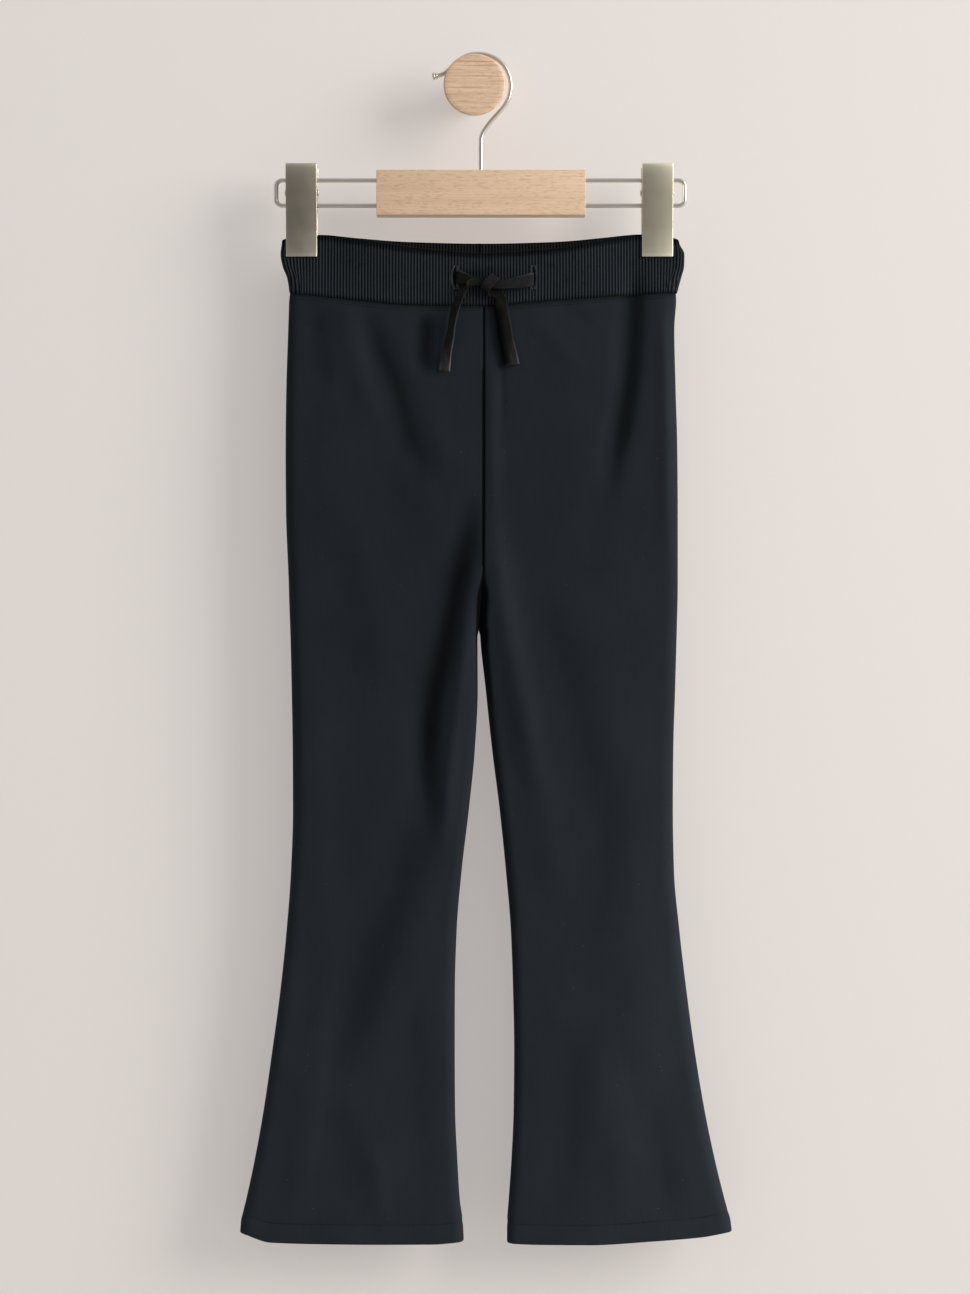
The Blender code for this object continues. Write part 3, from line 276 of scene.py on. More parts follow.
def bell(off, wide, high=1.0):
    # a soft hump, highest in the middle and nothing far to its sides
    return high * np.exp(-(off / wide) ** 2)


def roundShare(share):
    power = legCut["endPower"]
    return (1.0 - (1.0 - np.clip(share, 0.0, 1.0)) ** power) ** (1.0 / power)


def roundSteps(steps):
    # shares of a rounded edge's width, set closer where it is steeper
    return 1.0 - np.cos(np.pi / 2 * np.arange(steps + 1) / steps) ** (2.0 / legCut["endPower"])


def foldHeight(face, x, z):
    total = np.zeros(np.broadcast(x, z).shape)
    for row in softFolds[face]:
        fold = dict(zip(softFoldColumns, row))
        line = np.array(fold["line"], dtype=float)
        lengths = np.hypot(*np.diff(line, axis=0).T)
        whole = lengths.sum()
        nearest = np.full(total.shape, 1e9)
        along = np.zeros(total.shape)
        gone = 0.0
        for k, (a, b) in enumerate(zip(line, line[1:])):
            run = (b - a) / lengths[k]
            t = (x - a[0]) * run[0] + (z - a[1]) * run[1]
            low = -1e9 if k == 0 else 0.0
            high = 1e9 if k == len(lengths) - 1 else lengths[k]
            held = np.clip(t, low, high)
            off = np.hypot(x - a[0] - run[0] * held, z - a[1] - run[1] * held)
            closer = off < nearest
            nearest = np.where(closer, off, nearest)
            along = np.where(closer, gone + held, along)
            gone += lengths[k]
        t = along / whole
        fade = softStep(-0.15, 0.2, t) * (1.0 - softStep(0.7, 1.15, t))
        total += fold["high"] * fade * bell(nearest, fold["wide"])
    return total


def pinch(x, z):
    # how far the clips press the cloth together: 1 in their jaws
    past = np.minimum(x - clipCut["x"]["left"], clipCut["x"]["right"] - x)
    across = 1.0 - softStep(clipCut["half"] + clipCut["margin"], clipCut["pressReach"], past)
    below = clipCut["foot"] - clipCut["margin"] - z
    letGo = sum(share * softStep(start, end, below) for start, end, share in clipCut["pressBelow"])
    return across * (1.0 - letGo)


def legEdges(side, face, z):
    outer = legCurves[side + "Outer"](z)
    inner = legCurves[side + "Inner"](z)
    if face == "back":
        inner = inner + legCut["backShift"] * (1.0 - softStep(*legCut["shiftEnds"], -z))
    toward = toMiddle[side]
    return outer, inner + toward * closerCurves["closer"](z)


def legDepth(side, face, x, z):
    # distance from the mid plane to the cloth's face
    toward = toMiddle[side]
    outer, inner = legEdges(side, face, z)
    atOuter = roundShare((x - outer) * toward / legCut["outerRound"])
    atInner = roundShare((inner - x) * toward / roundCurves[side](z))
    share = atOuter * (1.0 - legCurves[face + "Part"](z) * (1.0 - atInner))
    across = (x - outer) / (inner - outer)
    lobe = 0.5 + 0.5 * softStep(*legCut["lobesBegin"], -z)
    depth = legCurves[face](z) * (1.0 - legCut["crown"] + legCut["crown"] * np.sin(np.pi * across * lobe))
    depth = blend(depth, clipCut["pinchedLeg"], pinch(x, z))
    depth = depth + foldHeight(face, x, z) * share
    return np.maximum(depth * share, legCut["touch"])


def bandDepth(face, level, x):
    # distance from the mid plane to the band's face, without ribs, and its height
    left, right = sideCurves["left"](level), sideCurves["right"](level)
    z = blend(bandCurves[face + "Seam"](x), bandCurves[face + "Top"](x), level)
    across = (x - left) / (right - left)
    depth = sideCurves["depth"](level) * (1.0 - legCut["crown"] + legCut["crown"] * np.sin(np.pi * across))
    beyond = np.maximum(clipCut["x"]["left"] - clipCut["half"] - x, x - clipCut["x"]["right"] - clipCut["half"])
    held = blend(clipCut["pinched"], clipCut["bandEnd"],
                 softStep(clipCut["margin"] / 2, clipCut["margin"] * 2, beyond))
    depth = blend(depth, blend(clipCut["pinchedLeg"], held, np.minimum(1.0, level * 2)), pinch(x, z))
    depth = depth + foldHeight(face, x, z) * (1.0 - level)
    return depth * roundShare(np.minimum(x - left, right - x) / sideCurves["round"](level)), z


def clothFace(x, z, face="front"):
    # how far the cloth's outer face is from the mid plane at one place
    seam = float(bandCurves[face + "Seam"](x))
    if z >= seam:
        level = min(1.0, (z - seam) / (float(bandCurves[face + "Top"](x)) - seam))
        return float(bandDepth(face, np.float64(level), np.float64(x))[0])
    inner = float(legEdges("left", face, z)[1])
    return float(legDepth("left" if x < inner else "right", face, np.float64(x), np.float64(z)))


# Making pieces

def gridPiece(points, texture, shadesAndTones=None, closed=False):
    # a grid whose corners are moved to their places; edges that then meet are joined
    rows, columns = points.shape[:2]
    bm = bmesh.new()
    bmesh.ops.create_grid(bm, x_segments=columns - 1, y_segments=rows - 1, size=1.0)
    spots = {}
    # each corner carries its painted shade and light, with some tone
    layer = bm.verts.layers.float_color.new("shadeAndTone")
    for v in bm.verts:
        i = round((v.co.x + 1.0) / 2.0 * (columns - 1))
        j = round((v.co.y + 1.0) / 2.0 * (rows - 1))
        spots[v.index] = (j, i)
        v.co = points[j, i]
        v[layer] = (*(shadesAndTones[j, i] if shadesAndTones is not None else (1.0, 1.0, 1.0)), 1.0)
    cloth = bm.loops.layers.uv.new("cloth")
    for face in bm.faces:
        for loop in face.loops:
            loop[cloth].uv = texture[spots[loop.vert.index]]
    if closed:
        bmesh.ops.remove_doubles(bm, verts=bm.verts, dist=1e-7)
    bmesh.ops.recalc_face_normals(bm, faces=bm.faces)
    return bm


def inScene(name, bm, material=None):
    mesh = bpy.data.meshes.new(name)
    bm.to_mesh(mesh)
    bm.free()
    if material:
        mesh.materials.append(material)
    thing = bpy.data.objects.new(name, mesh)
    scene.collection.objects.link(thing)
    return thing


def smooth(piece, bends=None):
    # smooth all over, or only where faces meet at less than the given angle
    piece.data.shade_smooth()
    if bends:
        piece.data.set_sharp_from_angle(angle=math.radians(bends))


def finishPiece(name, bm, material, bends=None):
    piece = inScene(name, bm, material)
    smooth(piece, bends)
    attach(piece, "root")
    return piece


def finalMesh(thing):
    bpy.context.view_layer.update()
    return bpy.data.meshes.new_from_object(thing.evaluated_get(bpy.context.evaluated_depsgraph_get()))


def combine(piece, bm, operation):
    # a second shape is cut out of a piece or joined to it
    tool = inScene("tool", bm)
    work = piece.modifiers.new("tool", "BOOLEAN")
    work.operation = operation
    work.solver = "EXACT"
    work.object = tool
    mesh = finalMesh(piece)
    piece.modifiers.clear()
    piece.data = mesh
    bpy.data.objects.remove(tool, do_unlink=True)


def spinProfile(bm, profile, steps, centre, axis):
    # a profile of (radius, height) turned round an axis through a centre
    axis = Vector(axis)
    side = Vector((1.0, 0.0, 0.0)) if abs(axis.x) < 0.5 else Vector((0.0, 1.0, 0.0))
    verts = [bm.verts.new((Vector(centre) + side * r + axis * h) * mm) for r, h in profile]
    edges = [bm.edges.new(pair) for pair in zip(verts, verts[1:])]
    bmesh.ops.spin(bm, geom=verts + edges, cent=Vector(centre) * mm, axis=axis, angle=2 * math.pi, steps=steps,
                   use_merge=True, use_duplicate=False)
    bmesh.ops.remove_doubles(bm, verts=bm.verts, dist=1e-6)
    bmesh.ops.recalc_face_normals(bm, faces=bm.faces)


def roundWire(line, radius, fineness, closed=False):
    # a round wire along a line of points
    curve = bpy.data.curves.new("wire", "CURVE")
    curve.dimensions = "3D"
    curve.bevel_depth = radius * mm
    curve.bevel_resolution = fineness
    curve.use_fill_caps = not closed
    spline = curve.splines.new("POLY")
    spline.points.add(len(line) - 1)
    for spot, point in zip(spline.points, line):
        spot.co = (*[c * mm for c in point], 1.0)
    spline.use_cyclic_u = closed
    wire = bpy.data.objects.new("wire", curve)
    scene.collection.objects.link(wire)
    mesh = finalMesh(wire)
    bpy.data.objects.remove(wire, do_unlink=True)
    bm = bmesh.new()
    bm.from_mesh(mesh)
    bpy.data.meshes.remove(mesh)
    bmesh.ops.remove_doubles(bm, verts=bm.verts, dist=1e-6)
    return bm


def addBore(bm, centre, radius, length, upright=False):
    # a plain rod that a bore is cut with
    rod = bmesh.ops.create_cone(bm, cap_ends=True, segments=32, radius1=radius * mm, radius2=radius * mm,
                                depth=length * mm)["verts"]
    if not upright:
        bmesh.ops.rotate(bm, matrix=Matrix.Rotation(math.pi / 2, 3, "Y"), verts=rod)
    bmesh.ops.translate(bm, vec=[c * mm for c in centre], verts=rod)


def roundEdges(bm, edges, size, segments):
    bmesh.ops.bevel(bm, geom=edges, offset=size * mm, offset_type="OFFSET", segments=segments, affect="EDGES",
                    profile=0.5, material=-1)


# Materials; a node goes into the tree of the sockets that it reads

def isSocket(value):
    return isinstance(value, bpy.types.NodeSocket)


def newMaterial(name, colour, roughness, metallic=0.0, **inputs):
    material = bpy.data.materials.new(name)
    material.use_nodes = True
    material.diffuse_color = (*colour, 1.0)
    shader = material.node_tree.nodes["Principled BSDF"]
    inputs = {"Base Color": (*colour, 1.0), "Roughness": roughness, "Metallic": metallic, **inputs}
    for key, value in inputs.items():
        shader.inputs[key].default_value = value
    return material, material.node_tree, shader


def put(tree, kind, inputs=None, **settings):
    node = tree.nodes.new("ShaderNode" + kind)
    for key, value in settings.items():
        setattr(node, key, value)
    for key, value in (inputs or {}).items():
        if isSocket(value):
            tree.links.new(value, node.inputs[key])
        else:
            node.inputs[key].default_value = value
    return node


def sums(operation, a, b=0.5, c=0.5):
    return put(a.id_data, "Math", {0: a, 1: b, 2: c}, operation=operation).outputs[0]


def plus(a, b):
    return sums("ADD", a, b)


def times(a, b, more=None):
    return sums("MULTIPLY", a, b) if more is None else sums("MULTIPLY_ADD", a, b, more)


def wave(value, length=1.0):
    return sums("SINE", times(value, 2 * math.pi / length))


def noise(place, detail, rough=0.5, scale=1.0):
    return put(place.id_data, "TexNoise", {"Vector": place, "Scale": scale, "Detail": detail,
                                           "Roughness": rough}).outputs["Fac"]


def parted(place):
    return put(place.id_data, "SeparateXYZ", {0: place}).outputs


def ramp(factor, stops):
    # stops are places, each with a colour or a tone
    node = put(factor.id_data, "ValToRGB", {"Fac": factor})
    parts = node.color_ramp.elements
    while len(parts) < len(stops):
        parts.new(0.5)
    for part, (place, colour) in zip(parts, stops):
        part.position = place
        part.color = (*((colour,) * 3 if isinstance(colour, float) else colour), 1.0)
    return node.outputs["Color"]


def mixed(factor, a, b, kind="MIX"):
    # colours mixed in one of Blender's ways
    tree = next(value for value in (factor, a, b) if isSocket(value)).id_data
    a, b = (value if isSocket(value) else (*value, 1.0) for value in (a, b))
    return put(tree, "Mix", {0: factor, 6: a, 7: b}, data_type="RGBA", blend_type=kind).outputs[2]


def bumped(shader, height, strength, distance):
    tree = height.id_data
    bump = put(tree, "Bump", {"Height": height, "Strength": strength, "Distance": distance * mm})
    tree.links.new(bump.outputs["Normal"], shader.inputs["Normal"])


def objectPlace(tree, scale=(1.0, 1.0, 1.0), turn=(0.0, 0.0, 0.0), place=(0.0, 0.0, 0.0)):
    coords = put(tree, "TexCoord").outputs["Object"]
    return put(tree, "Mapping", {"Vector": coords, "Scale": scale, "Rotation": turn, "Location": place}).outputs[0]


def clothPlace(tree, scale=(1.0, 1.0, 1.0)):
    coords = put(tree, "UVMap", uv_map="cloth").outputs[0]
    return put(tree, "Mapping", {"Vector": coords, "Scale": scale}).outputs[0]


def newCloth(name, kind):
    # a cloth's material, its places, and those across and down
    material, tree, shader = newMaterial(name, kind["colour"], kind["rough"], **{
        "Sheen Weight": kind["sheen"], "Sheen Roughness": kind["sheenRough"],
        "Sheen Tint": (*kind["sheenTint"], 1.0), "Specular IOR Level": kind["shine"]})
    place = clothPlace(tree)
    across, down, _ = parted(place)
    return material, tree, shader, place, across, down


def applyShadeAndTone(tree, shader, colour):
    # the painted shade and light that each piece carries, and on the band and the tapes some tone, lie over its
    # cloth's colour
    shadeAndTone = put(tree, "Attribute", attribute_name="shadeAndTone").outputs["Color"]
    tree.links.new(mixed(1.0, colour, shadeAndTone, "MULTIPLY"), shader.inputs["Base Color"])


# The cloth's uv is in centimetres: across the panel, and down it
jerseySet = {"colour": (0.0116, 0.0150, 0.0190), "worn": (0.0182, 0.0228, 0.0284), "rough": 0.9,
             "sheen": 0.045, "sheenRough": 0.45, "sheenTint": (0.62, 0.68, 0.80), "shine": 0.055,
             "wale": 0.85, "course": 0.7, "lean": 0.6, "fuzz": 28.0, "cloud": (0.25, 0.12, 1.0),
             "streak": (9.0, 0.35, 1.0), "lint": (0.070, 0.072, 0.076), "fibre": (0.9, 2.0, 1.0),
             "fibreSize": 0.055, "fibreShare": 0.26, "bump": (0.35, 0.16)}


def makeJersey():
    material, tree, shader, place, across, down = newCloth("jersey", jerseySet)
    # knitted loops lean to and fro down the wales
    across = times(across, 10.0 / jerseySet["wale"])
    down = times(down, 10.0 / jerseySet["course"])
    loops = wave(plus(across, times(sums("PINGPONG", down, 0.5), jerseySet["lean"])))
    knit = times(loops, 0.5, times(wave(down), 0.25))
    fuzz = noise(place, 6.0, 0.7, jerseySet["fuzz"])
    cloud = noise(clothPlace(tree, jerseySet["cloud"]), 4.0, 0.55)
    streak = noise(clothPlace(tree, jerseySet["streak"]), 3.0, 0.6)
    shade = plus(times(cloud, 0.5), plus(times(fuzz, 0.3), times(streak, 0.25)))
    colour = mixed(sums("SUBTRACT", times(shade, 2.6), 0.83), jerseySet["colour"], jerseySet["worn"])
    # a few short fibres of pale lint
    cells = put(tree, "TexVoronoi", {"Vector": clothPlace(tree, jerseySet["fibre"]), "Scale": 1.0}).outputs
    fibre = sums("LESS_THAN", cells["Distance"], jerseySet["fibreSize"])
    chance = put(tree, "SeparateColor", {0: cells["Color"]}).outputs[0]
    some = sums("GREATER_THAN", chance, 1.0 - jerseySet["fibreShare"])
    applyShadeAndTone(tree, shader, mixed(times(times(fibre, some), 0.5), colour, jerseySet["lint"]))
    bumped(shader, plus(times(knit, 0.5), times(fuzz, 0.9)), *jerseySet["bump"])
    return material


# On the rib, uv counts the ribs round the band and pitches down it
# the groove colour is painted shade between the ribs and the crest colour painted light on them
ribSet = {"colour": (0.0084, 0.0110, 0.0138), "groove": (0.0014, 0.0018, 0.0023), "crest": (0.0235, 0.0282, 0.0322),
          "rough": 0.88, "sheen": 0.045, "sheenRough": 0.4, "sheenTint": (0.66, 0.70, 0.80), "shine": 0.055,
          "perRib": (0.9, 0.05, 1.0), "patch": (0.4, 0.5, 1.0), "loops": 2.6, "lean": 1.4, "fuzz": 5.0,
          "bump": (0.5, 0.22)}


def makeRib():
    material, tree, shader, place, across, down = newCloth("rib", ribSet)
    fromGroove = sums("PINGPONG", across, 0.5)
    perRib = noise(clothPlace(tree, ribSet["perRib"]), 2.0, 0.7)
    patch = noise(clothPlace(tree, ribSet["patch"]), 4.0, 0.6)
    # painted shade in each groove and painted light on each crest
    paintedRibShading = ramp(times(fromGroove, 2.0), ((0.12, ribSet["groove"]), (0.5, ribSet["colour"]), (0.92, ribSet["crest"])))
    uneven = ramp(times(perRib, 1.3, patch), ((0.7, 0.45), (1.0, 1.5)))
    applyShadeAndTone(tree, shader, mixed(0.8, paintedRibShading, uneven, "MULTIPLY"))
    lean = times(sums("ABSOLUTE", sums("SUBTRACT", fromGroove, 0.5)), ribSet["lean"])
    loops = wave(plus(times(down, ribSet["loops"]), lean))
    fuzz = noise(place, 5.0, 0.7, ribSet["fuzz"])
    bumped(shader, times(fuzz, 0.8, times(loops, 0.3)), *ribSet["bump"])
    return material


# On the tape, uv is in millimetres across it and along it
tapeSet = {"colour": (0.0200, 0.0196, 0.0192), "dark": (0.0100, 0.0098, 0.0096), "light": (0.050, 0.048, 0.047),
           "rough": 0.84, "sheen": 0.02, "sheenRough": 0.4, "sheenTint": (0.9, 0.86, 0.82), "shine": 0.04,
           "wale": 0.9, "course": 0.8, "lean": 1.3, "fuzz": 2.4, "blotch": (0.35, 0.12, 1.0), "bump": (0.6, 0.2)}


def makeTape():
    material, tree, shader, place, across, down = newCloth("tape", tapeSet)
    wales = wave(across, tapeSet["wale"])
    lean = times(sums("PINGPONG", across, tapeSet["wale"] / 2), tapeSet["lean"])
    rows = wave(plus(down, lean), tapeSet["course"])
    blotch = noise(clothPlace(tree, tapeSet["blotch"]), 5.0, 0.65)
    fuzz = noise(place, 5.0, 0.7, tapeSet["fuzz"])
    applyShadeAndTone(tree, shader, ramp(times(fuzz, 0.45, times(blotch, 0.6)),
                           ((0.30, tapeSet["dark"]), (0.56, tapeSet["colour"]), (0.85, tapeSet["light"]))))
    bumped(shader, plus(times(wales, 0.35), times(rows, 0.3, times(fuzz, 0.8))), *tapeSet["bump"])
    return material


def makeThread(name, colour, sheen):
    material, tree, shader = newMaterial(name, colour, 0.7, **{"Sheen Weight": sheen, "Specular IOR Level": 0.12})
    twist = put(tree, "TexWave", {"Vector": objectPlace(tree, turn=(0.0, 0.6, 0.6)), "Scale": 900.0,
                                  "Distortion": 1.0, "Detail": 1.0}).outputs["Fac"]
    shades = ramp(twist, [(place, [c * share for c in colour]) for place, share in ((0.0, 0.6), (1.0, 1.25))])
    tree.links.new(shades, shader.inputs["Base Color"])
    bumped(shader, twist, 0.4, 0.08)
    return material


beechSet = {"pale": (0.81, 0.588, 0.408), "mid": (0.72, 0.502, 0.334), "line": (0.45, 0.27, 0.165),
            "fleck": (0.50, 0.31, 0.19), "rough": 0.46, "coat": 0.12, "coatRough": 0.35,
            # noises along and across the grain
            "warp": (9.0, 30.0, 30.0), "bands": (6.0, 120.0, 150.0), "pores": (55.0, 1500.0, 1500.0),
            "flecks": (230.0, 1300.0, 1300.0), "streaks": (16.0, 640.0, 640.0)}


def makeBeech(name, middle, lineGap, lineDepth, streakDepth):
    # grain runs along X: soft bands, growth lines, fine pores and the short flecks of beech
    material, tree, shader = newMaterial(name, beechSet["pale"], beechSet["rough"], **{
        "Coat Weight": beechSet["coat"], "Coat Roughness": beechSet["coatRough"]})
    place = [-c * mm for c in middle]

    def grain(kind, detail, rough=0.5):
        return noise(objectPlace(tree, beechSet[kind], place=place), detail, rough)

    _, inward, up = parted(objectPlace(tree, place=place))
    rings = wave(times(grain("warp", 2.0), 0.010, times(inward, 0.35, up)), lineGap * mm)
    lines = times(sums("POWER", times(rings, 0.5, 0.5), 5.0), lineDepth)
    bands, pores = grain("bands", 5.0, 0.6), grain("pores", 2.0, 0.6)
    flecks, streaks = grain("flecks", 1.0), grain("streaks", 1.0, 0.4)
    base = ramp(bands, ((0.30, beechSet["mid"]), (0.62, beechSet["pale"])))
    colour = mixed(lines, base, beechSet["line"])
    for marks, start, end, depth, stain in ((streaks, 0.56, 0.68, streakDepth, "line"),
                                            (pores, 0.56, 0.72, 0.30, "line"), (flecks, 0.55, 0.66, 0.42, "fleck")):
        colour = mixed(times(ramp(marks, ((start, 0.0), (end, 1.0))), depth), colour, beechSet[stain])
    tree.links.new(colour, shader.inputs["Base Color"])
    tree.links.new(ramp(bands, ((0.2, 0.40), (0.8, 0.54))), shader.inputs["Roughness"])
    bumped(shader, times(pores, -0.6, times(flecks, -0.4)), 0.25, 0.08)
    return material


nickelSet = {"colour": (0.70, 0.665, 0.595), "dull": (0.658, 0.6251, 0.5593), "rough": 0.30, "grain": 0.0}
# the plate's right colour is painted light: the right clip is lighter where the light falls
plateSet = {"colour": (0.478, 0.433, 0.354), "dull": (0.415, 0.376, 0.306), "right": (0.65, 0.61, 0.47),
            "rough": 0.36, "grain": 1.0, "foot": 123.5, "tall": 66.2,
            # painted reflections: paler towards the foot and the top
            "paintedEndReflections": ((0.0, 1.34), (0.14, 1.12), (0.34, 1.0), (0.70, 1.0), (0.88, 1.22), (1.0, 1.7))}
metalPlaces = {"drawn": (900.0, 900.0, 60.0), "marks": (120.0, 120.0, 700.0)}


def makeMetal(name, kind, scale):
    # plated metal with faint clouds; a pressed one has drawing lines, marks, painted light on the right, painted
    # reflections
    rough, grain = kind["rough"], kind["grain"]
    material, tree, shader = newMaterial(name, kind["colour"], rough, 1.0)
    cloud = noise(objectPlace(tree), 5.0, 0.6, scale)
    drawn = noise(objectPlace(tree, metalPlaces["drawn"]), 3.0, 0.6)
    marks = noise(objectPlace(tree, metalPlaces["marks"], (0.0, 0.5, 0.0)), 2.0)
    plated = ramp(cloud, ((0.3, kind["dull"]), (0.65, kind["colour"])))
    if grain:
        side, _, up = parted(objectPlace(tree, place=(0.5, 0.0, kind["foot"] * mm)))
        # painted light: the plate to the right is lighter
        plated = mixed(ramp(side, ((0.40, 0.0), (0.60, 1.0))), plated, kind["right"])
        # painted reflections: paler towards the foot and the top
        paintedEndReflections = ramp(sums("DIVIDE", up, kind["tall"] * mm), kind["paintedEndReflections"])
        plated = mixed(1.0, plated, paintedEndReflections, "MULTIPLY")
        bumped(shader, times(drawn, 0.6, marks), 0.06, 0.02)
    tree.links.new(plated, shader.inputs["Base Color"])
    uneven = plus(times(cloud, 0.08), times(drawn, 0.08 * grain, times(marks, 0.05 * grain)))
    tree.links.new(plus(uneven, rough - 0.04 - 0.065 * grain), shader.inputs["Roughness"])
    return material


jersey, rib, tape = makeJersey(), makeRib(), makeTape()
darkThread = makeThread("dark_thread", (0.0075, 0.0085, 0.0105), 0.02)
slitThread = makeThread("slit_thread", (0.046, 0.048, 0.050), 0.05)
beechBlock = makeBeech("beech_block", (4.7, hangY, -77.7), 2.1, 0.12, 0.10)
beechPeg = makeBeech("beech_peg", (0.0, -20.0, 0.0), 3.4, 0.22, 0.6)
nickel = makeMetal("nickel", nickelSet, 14.0)
clipPlate = makeMetal("clip_plate", plateSet, 40.0)
print("materials made")


# Drawstring: two flat tapes that cross in one half knot
# The routes: x, z, distance of the tape's middle from the cloth's face, width, thickness,
# and the way its width lies, in x, y and z

tapeCut = {
    "sectionPoints": 20, "steps": 7, "edgeRoll": 0.35,
    # from the left slit, round the other tape from behind, over it and down to the right
    "lower": (
        (-13.2, -138.9, -1.1, 10.0, 1.3, (0.0, 0.0, 1.0)),
        (-12.9, -138.9, 0.2, 10.0, 1.3, (0.0, 0.0, 1.0)),
        (-11.3, -139.0, 1.5, 9.8, 1.3, (0.0, 0.0, 1.0)),
        (-8.0, -140.1, 1.9, 9.0, 1.4, (0.1, -0.05, 1.0)),
        (-4.2, -141.3, 2.1, 7.4, 1.6, (0.15, -0.1, 1.0)),
        (0.9, -142.3, 2.0, 5.6, 1.8, (0.2, -0.1, 1.0)),
        (6.5, -142.2, 1.6, 5.6, 1.7, (0.1, -0.1, 1.0)),
        (11.4, -141.0, 1.7, 6.2, 1.6, (-0.45, 0.0, 0.9)),
        (14.6, -139.6, 3.0, 6.6, 1.5, (-0.75, 0.1, 0.6)),
        (14.9, -139.5, 5.6, 6.8, 1.5, (-0.72, -0.2, 0.68)),
        (12.4, -141.8, 7.3, 7.6, 1.5, (-0.72, -0.2, 0.68)),
        (9.0, -145.4, 7.3, 7.8, 1.5, (-0.75, -0.2, 0.65)),
        (7.6, -148.6, 5.6, 7.2, 1.6, (-0.8, 0.0, 0.6)),
        (9.9, -150.1, 3.0, 6.4, 1.7, (-0.5, 0.1, 0.85)),
        (14.6, -150.6, 2.1, 6.6, 1.6, (0.3, 0.1, 0.95)),
        (18.2, -153.6, 2.4, 8.0, 1.4, (0.95, 0.1, 0.3)),
        (19.3, -159.0, 3.0, 9.0, 1.3, (1.0, 0.15, 0.1)),
        (21.0, -170.0, 3.4, 9.6, 1.3, (1.0, 0.2, 0.1)),
        (23.4, -184.0, 3.2, 9.8, 1.3, (1.0, 0.2, 0.1)),
        (25.6, -194.0, 2.8, 10.0, 1.3, (1.0, 0.15, 0.1)),
        (27.4, -202.2, 2.5, 10.4, 1.4, (1.0, 0.1, 0.1)),
    ),
    # from the right slit, straight through the knot and down to the left
    "upper": (
        (42.0, -140.6, -1.1, 10.0, 1.3, (0.0, 0.0, 1.0)),
        (41.7, -140.6, 0.2, 10.0, 1.3, (0.0, 0.0, 1.0)),
        (40.1, -140.9, 1.6, 9.8, 1.3, (0.0, 0.0, 1.0)),
        (36.6, -141.8, 2.1, 9.4, 1.3, (-0.08, 0.06, 1.0)),
        (31.6, -142.9, 2.8, 8.8, 1.4, (-0.1, 0.1, 1.0)),
        (23.4, -144.2, 4.0, 7.2, 1.6, (-0.1, 0.16, 1.0)),
        (16.0, -145.0, 4.7, 6.2, 2.0, (-0.1, 0.2, 1.0)),
        (9.0, -144.4, 4.7, 5.6, 2.2, (0.0, 0.2, 1.0)),
        (3.0, -142.9, 4.6, 5.4, 2.0, (0.1, 0.3, 1.0)),
        (-2.2, -143.4, 5.6, 5.6, 1.6, (0.35, 0.1, 0.93)),
        (-7.0, -147.8, 6.2, 6.4, 1.5, (0.75, -0.25, 0.6)),
        (-11.4, -155.6, 5.9, 7.6, 1.4, (0.8, -0.5, 0.3)),
        (-14.8, -167.0, 5.4, 8.2, 1.3, (0.68, -0.7, 0.2)),
        (-17.2, -181.0, 4.8, 8.4, 1.3, (0.68, -0.7, 0.18)),
        (-19.8, -194.0, 3.8, 8.6, 1.3, (0.8, -0.58, 0.15)),
        (-21.6, -206.4, 2.8, 9.2, 1.4, (0.86, -0.42, 0.15)),
    ),
    "length": {"lower": 0.109, "upper": 0.114},
}
tapeLooks = {
    "lower": {
        # creases: place across, half width, depth, from and to along the tape
        "creases": ((0.12, 0.07, -0.9, 28.0, 58.0), (-0.2, 0.1, 0.5, 0.0, 24.0), (0.05, 0.08, -0.5, 62.0, 122.0)),
        # painted highlight along the right and the left edge, and painted shade on one side: from, to and how dark
        "edges": (2.2, 0.0), "darkSide": (64.0, 106.0, 0.9),
        # tones along the tape: painted shade through the knot and where one tape runs under the other, and paler
        # frayed ends
        "shadesAndTones": ((0.0, (0.44, 0.52, 0.42)), (14.0, (0.55, 0.56, 0.49)), (26.0, (0.62, 0.60, 0.64)),
                  (40.0, (0.72, 0.68, 0.71)), (50.0, (0.40, 0.39, 0.39)), (60.0, (0.36, 0.36, 0.36)),
                  (90.0, (0.42, 0.42, 0.41)), (100.0, (0.72, 0.74, 0.76)), (109.0, (1.3, 1.3, 1.34)),
                  (124.0, (1.6, 1.6, 1.62)))},
    "upper": {
        "creases": ((0.1, 0.06, -0.5, 2.0, 30.0), (-0.18, 0.06, -0.45, 6.0, 34.0), (-0.05, 0.07, -0.8, 66.0, 122.0)),
        "edges": (1.6, 0.05), "darkSide": (0.0, 1.0, 0.0),
        "shadesAndTones": ((0.0, (0.95, 0.94, 0.98)), (20.0, (0.74, 0.73, 0.76)), (30.0, (0.48, 0.46, 0.48)),
                  (46.0, (0.60, 0.63, 0.55)), (75.0, (0.70, 0.75, 0.68)), (94.0, (1.0, 1.02, 1.0)),
                  (104.0, (1.8, 1.8, 1.86)), (116.0, (2.8, 2.8, 2.9)))},
}


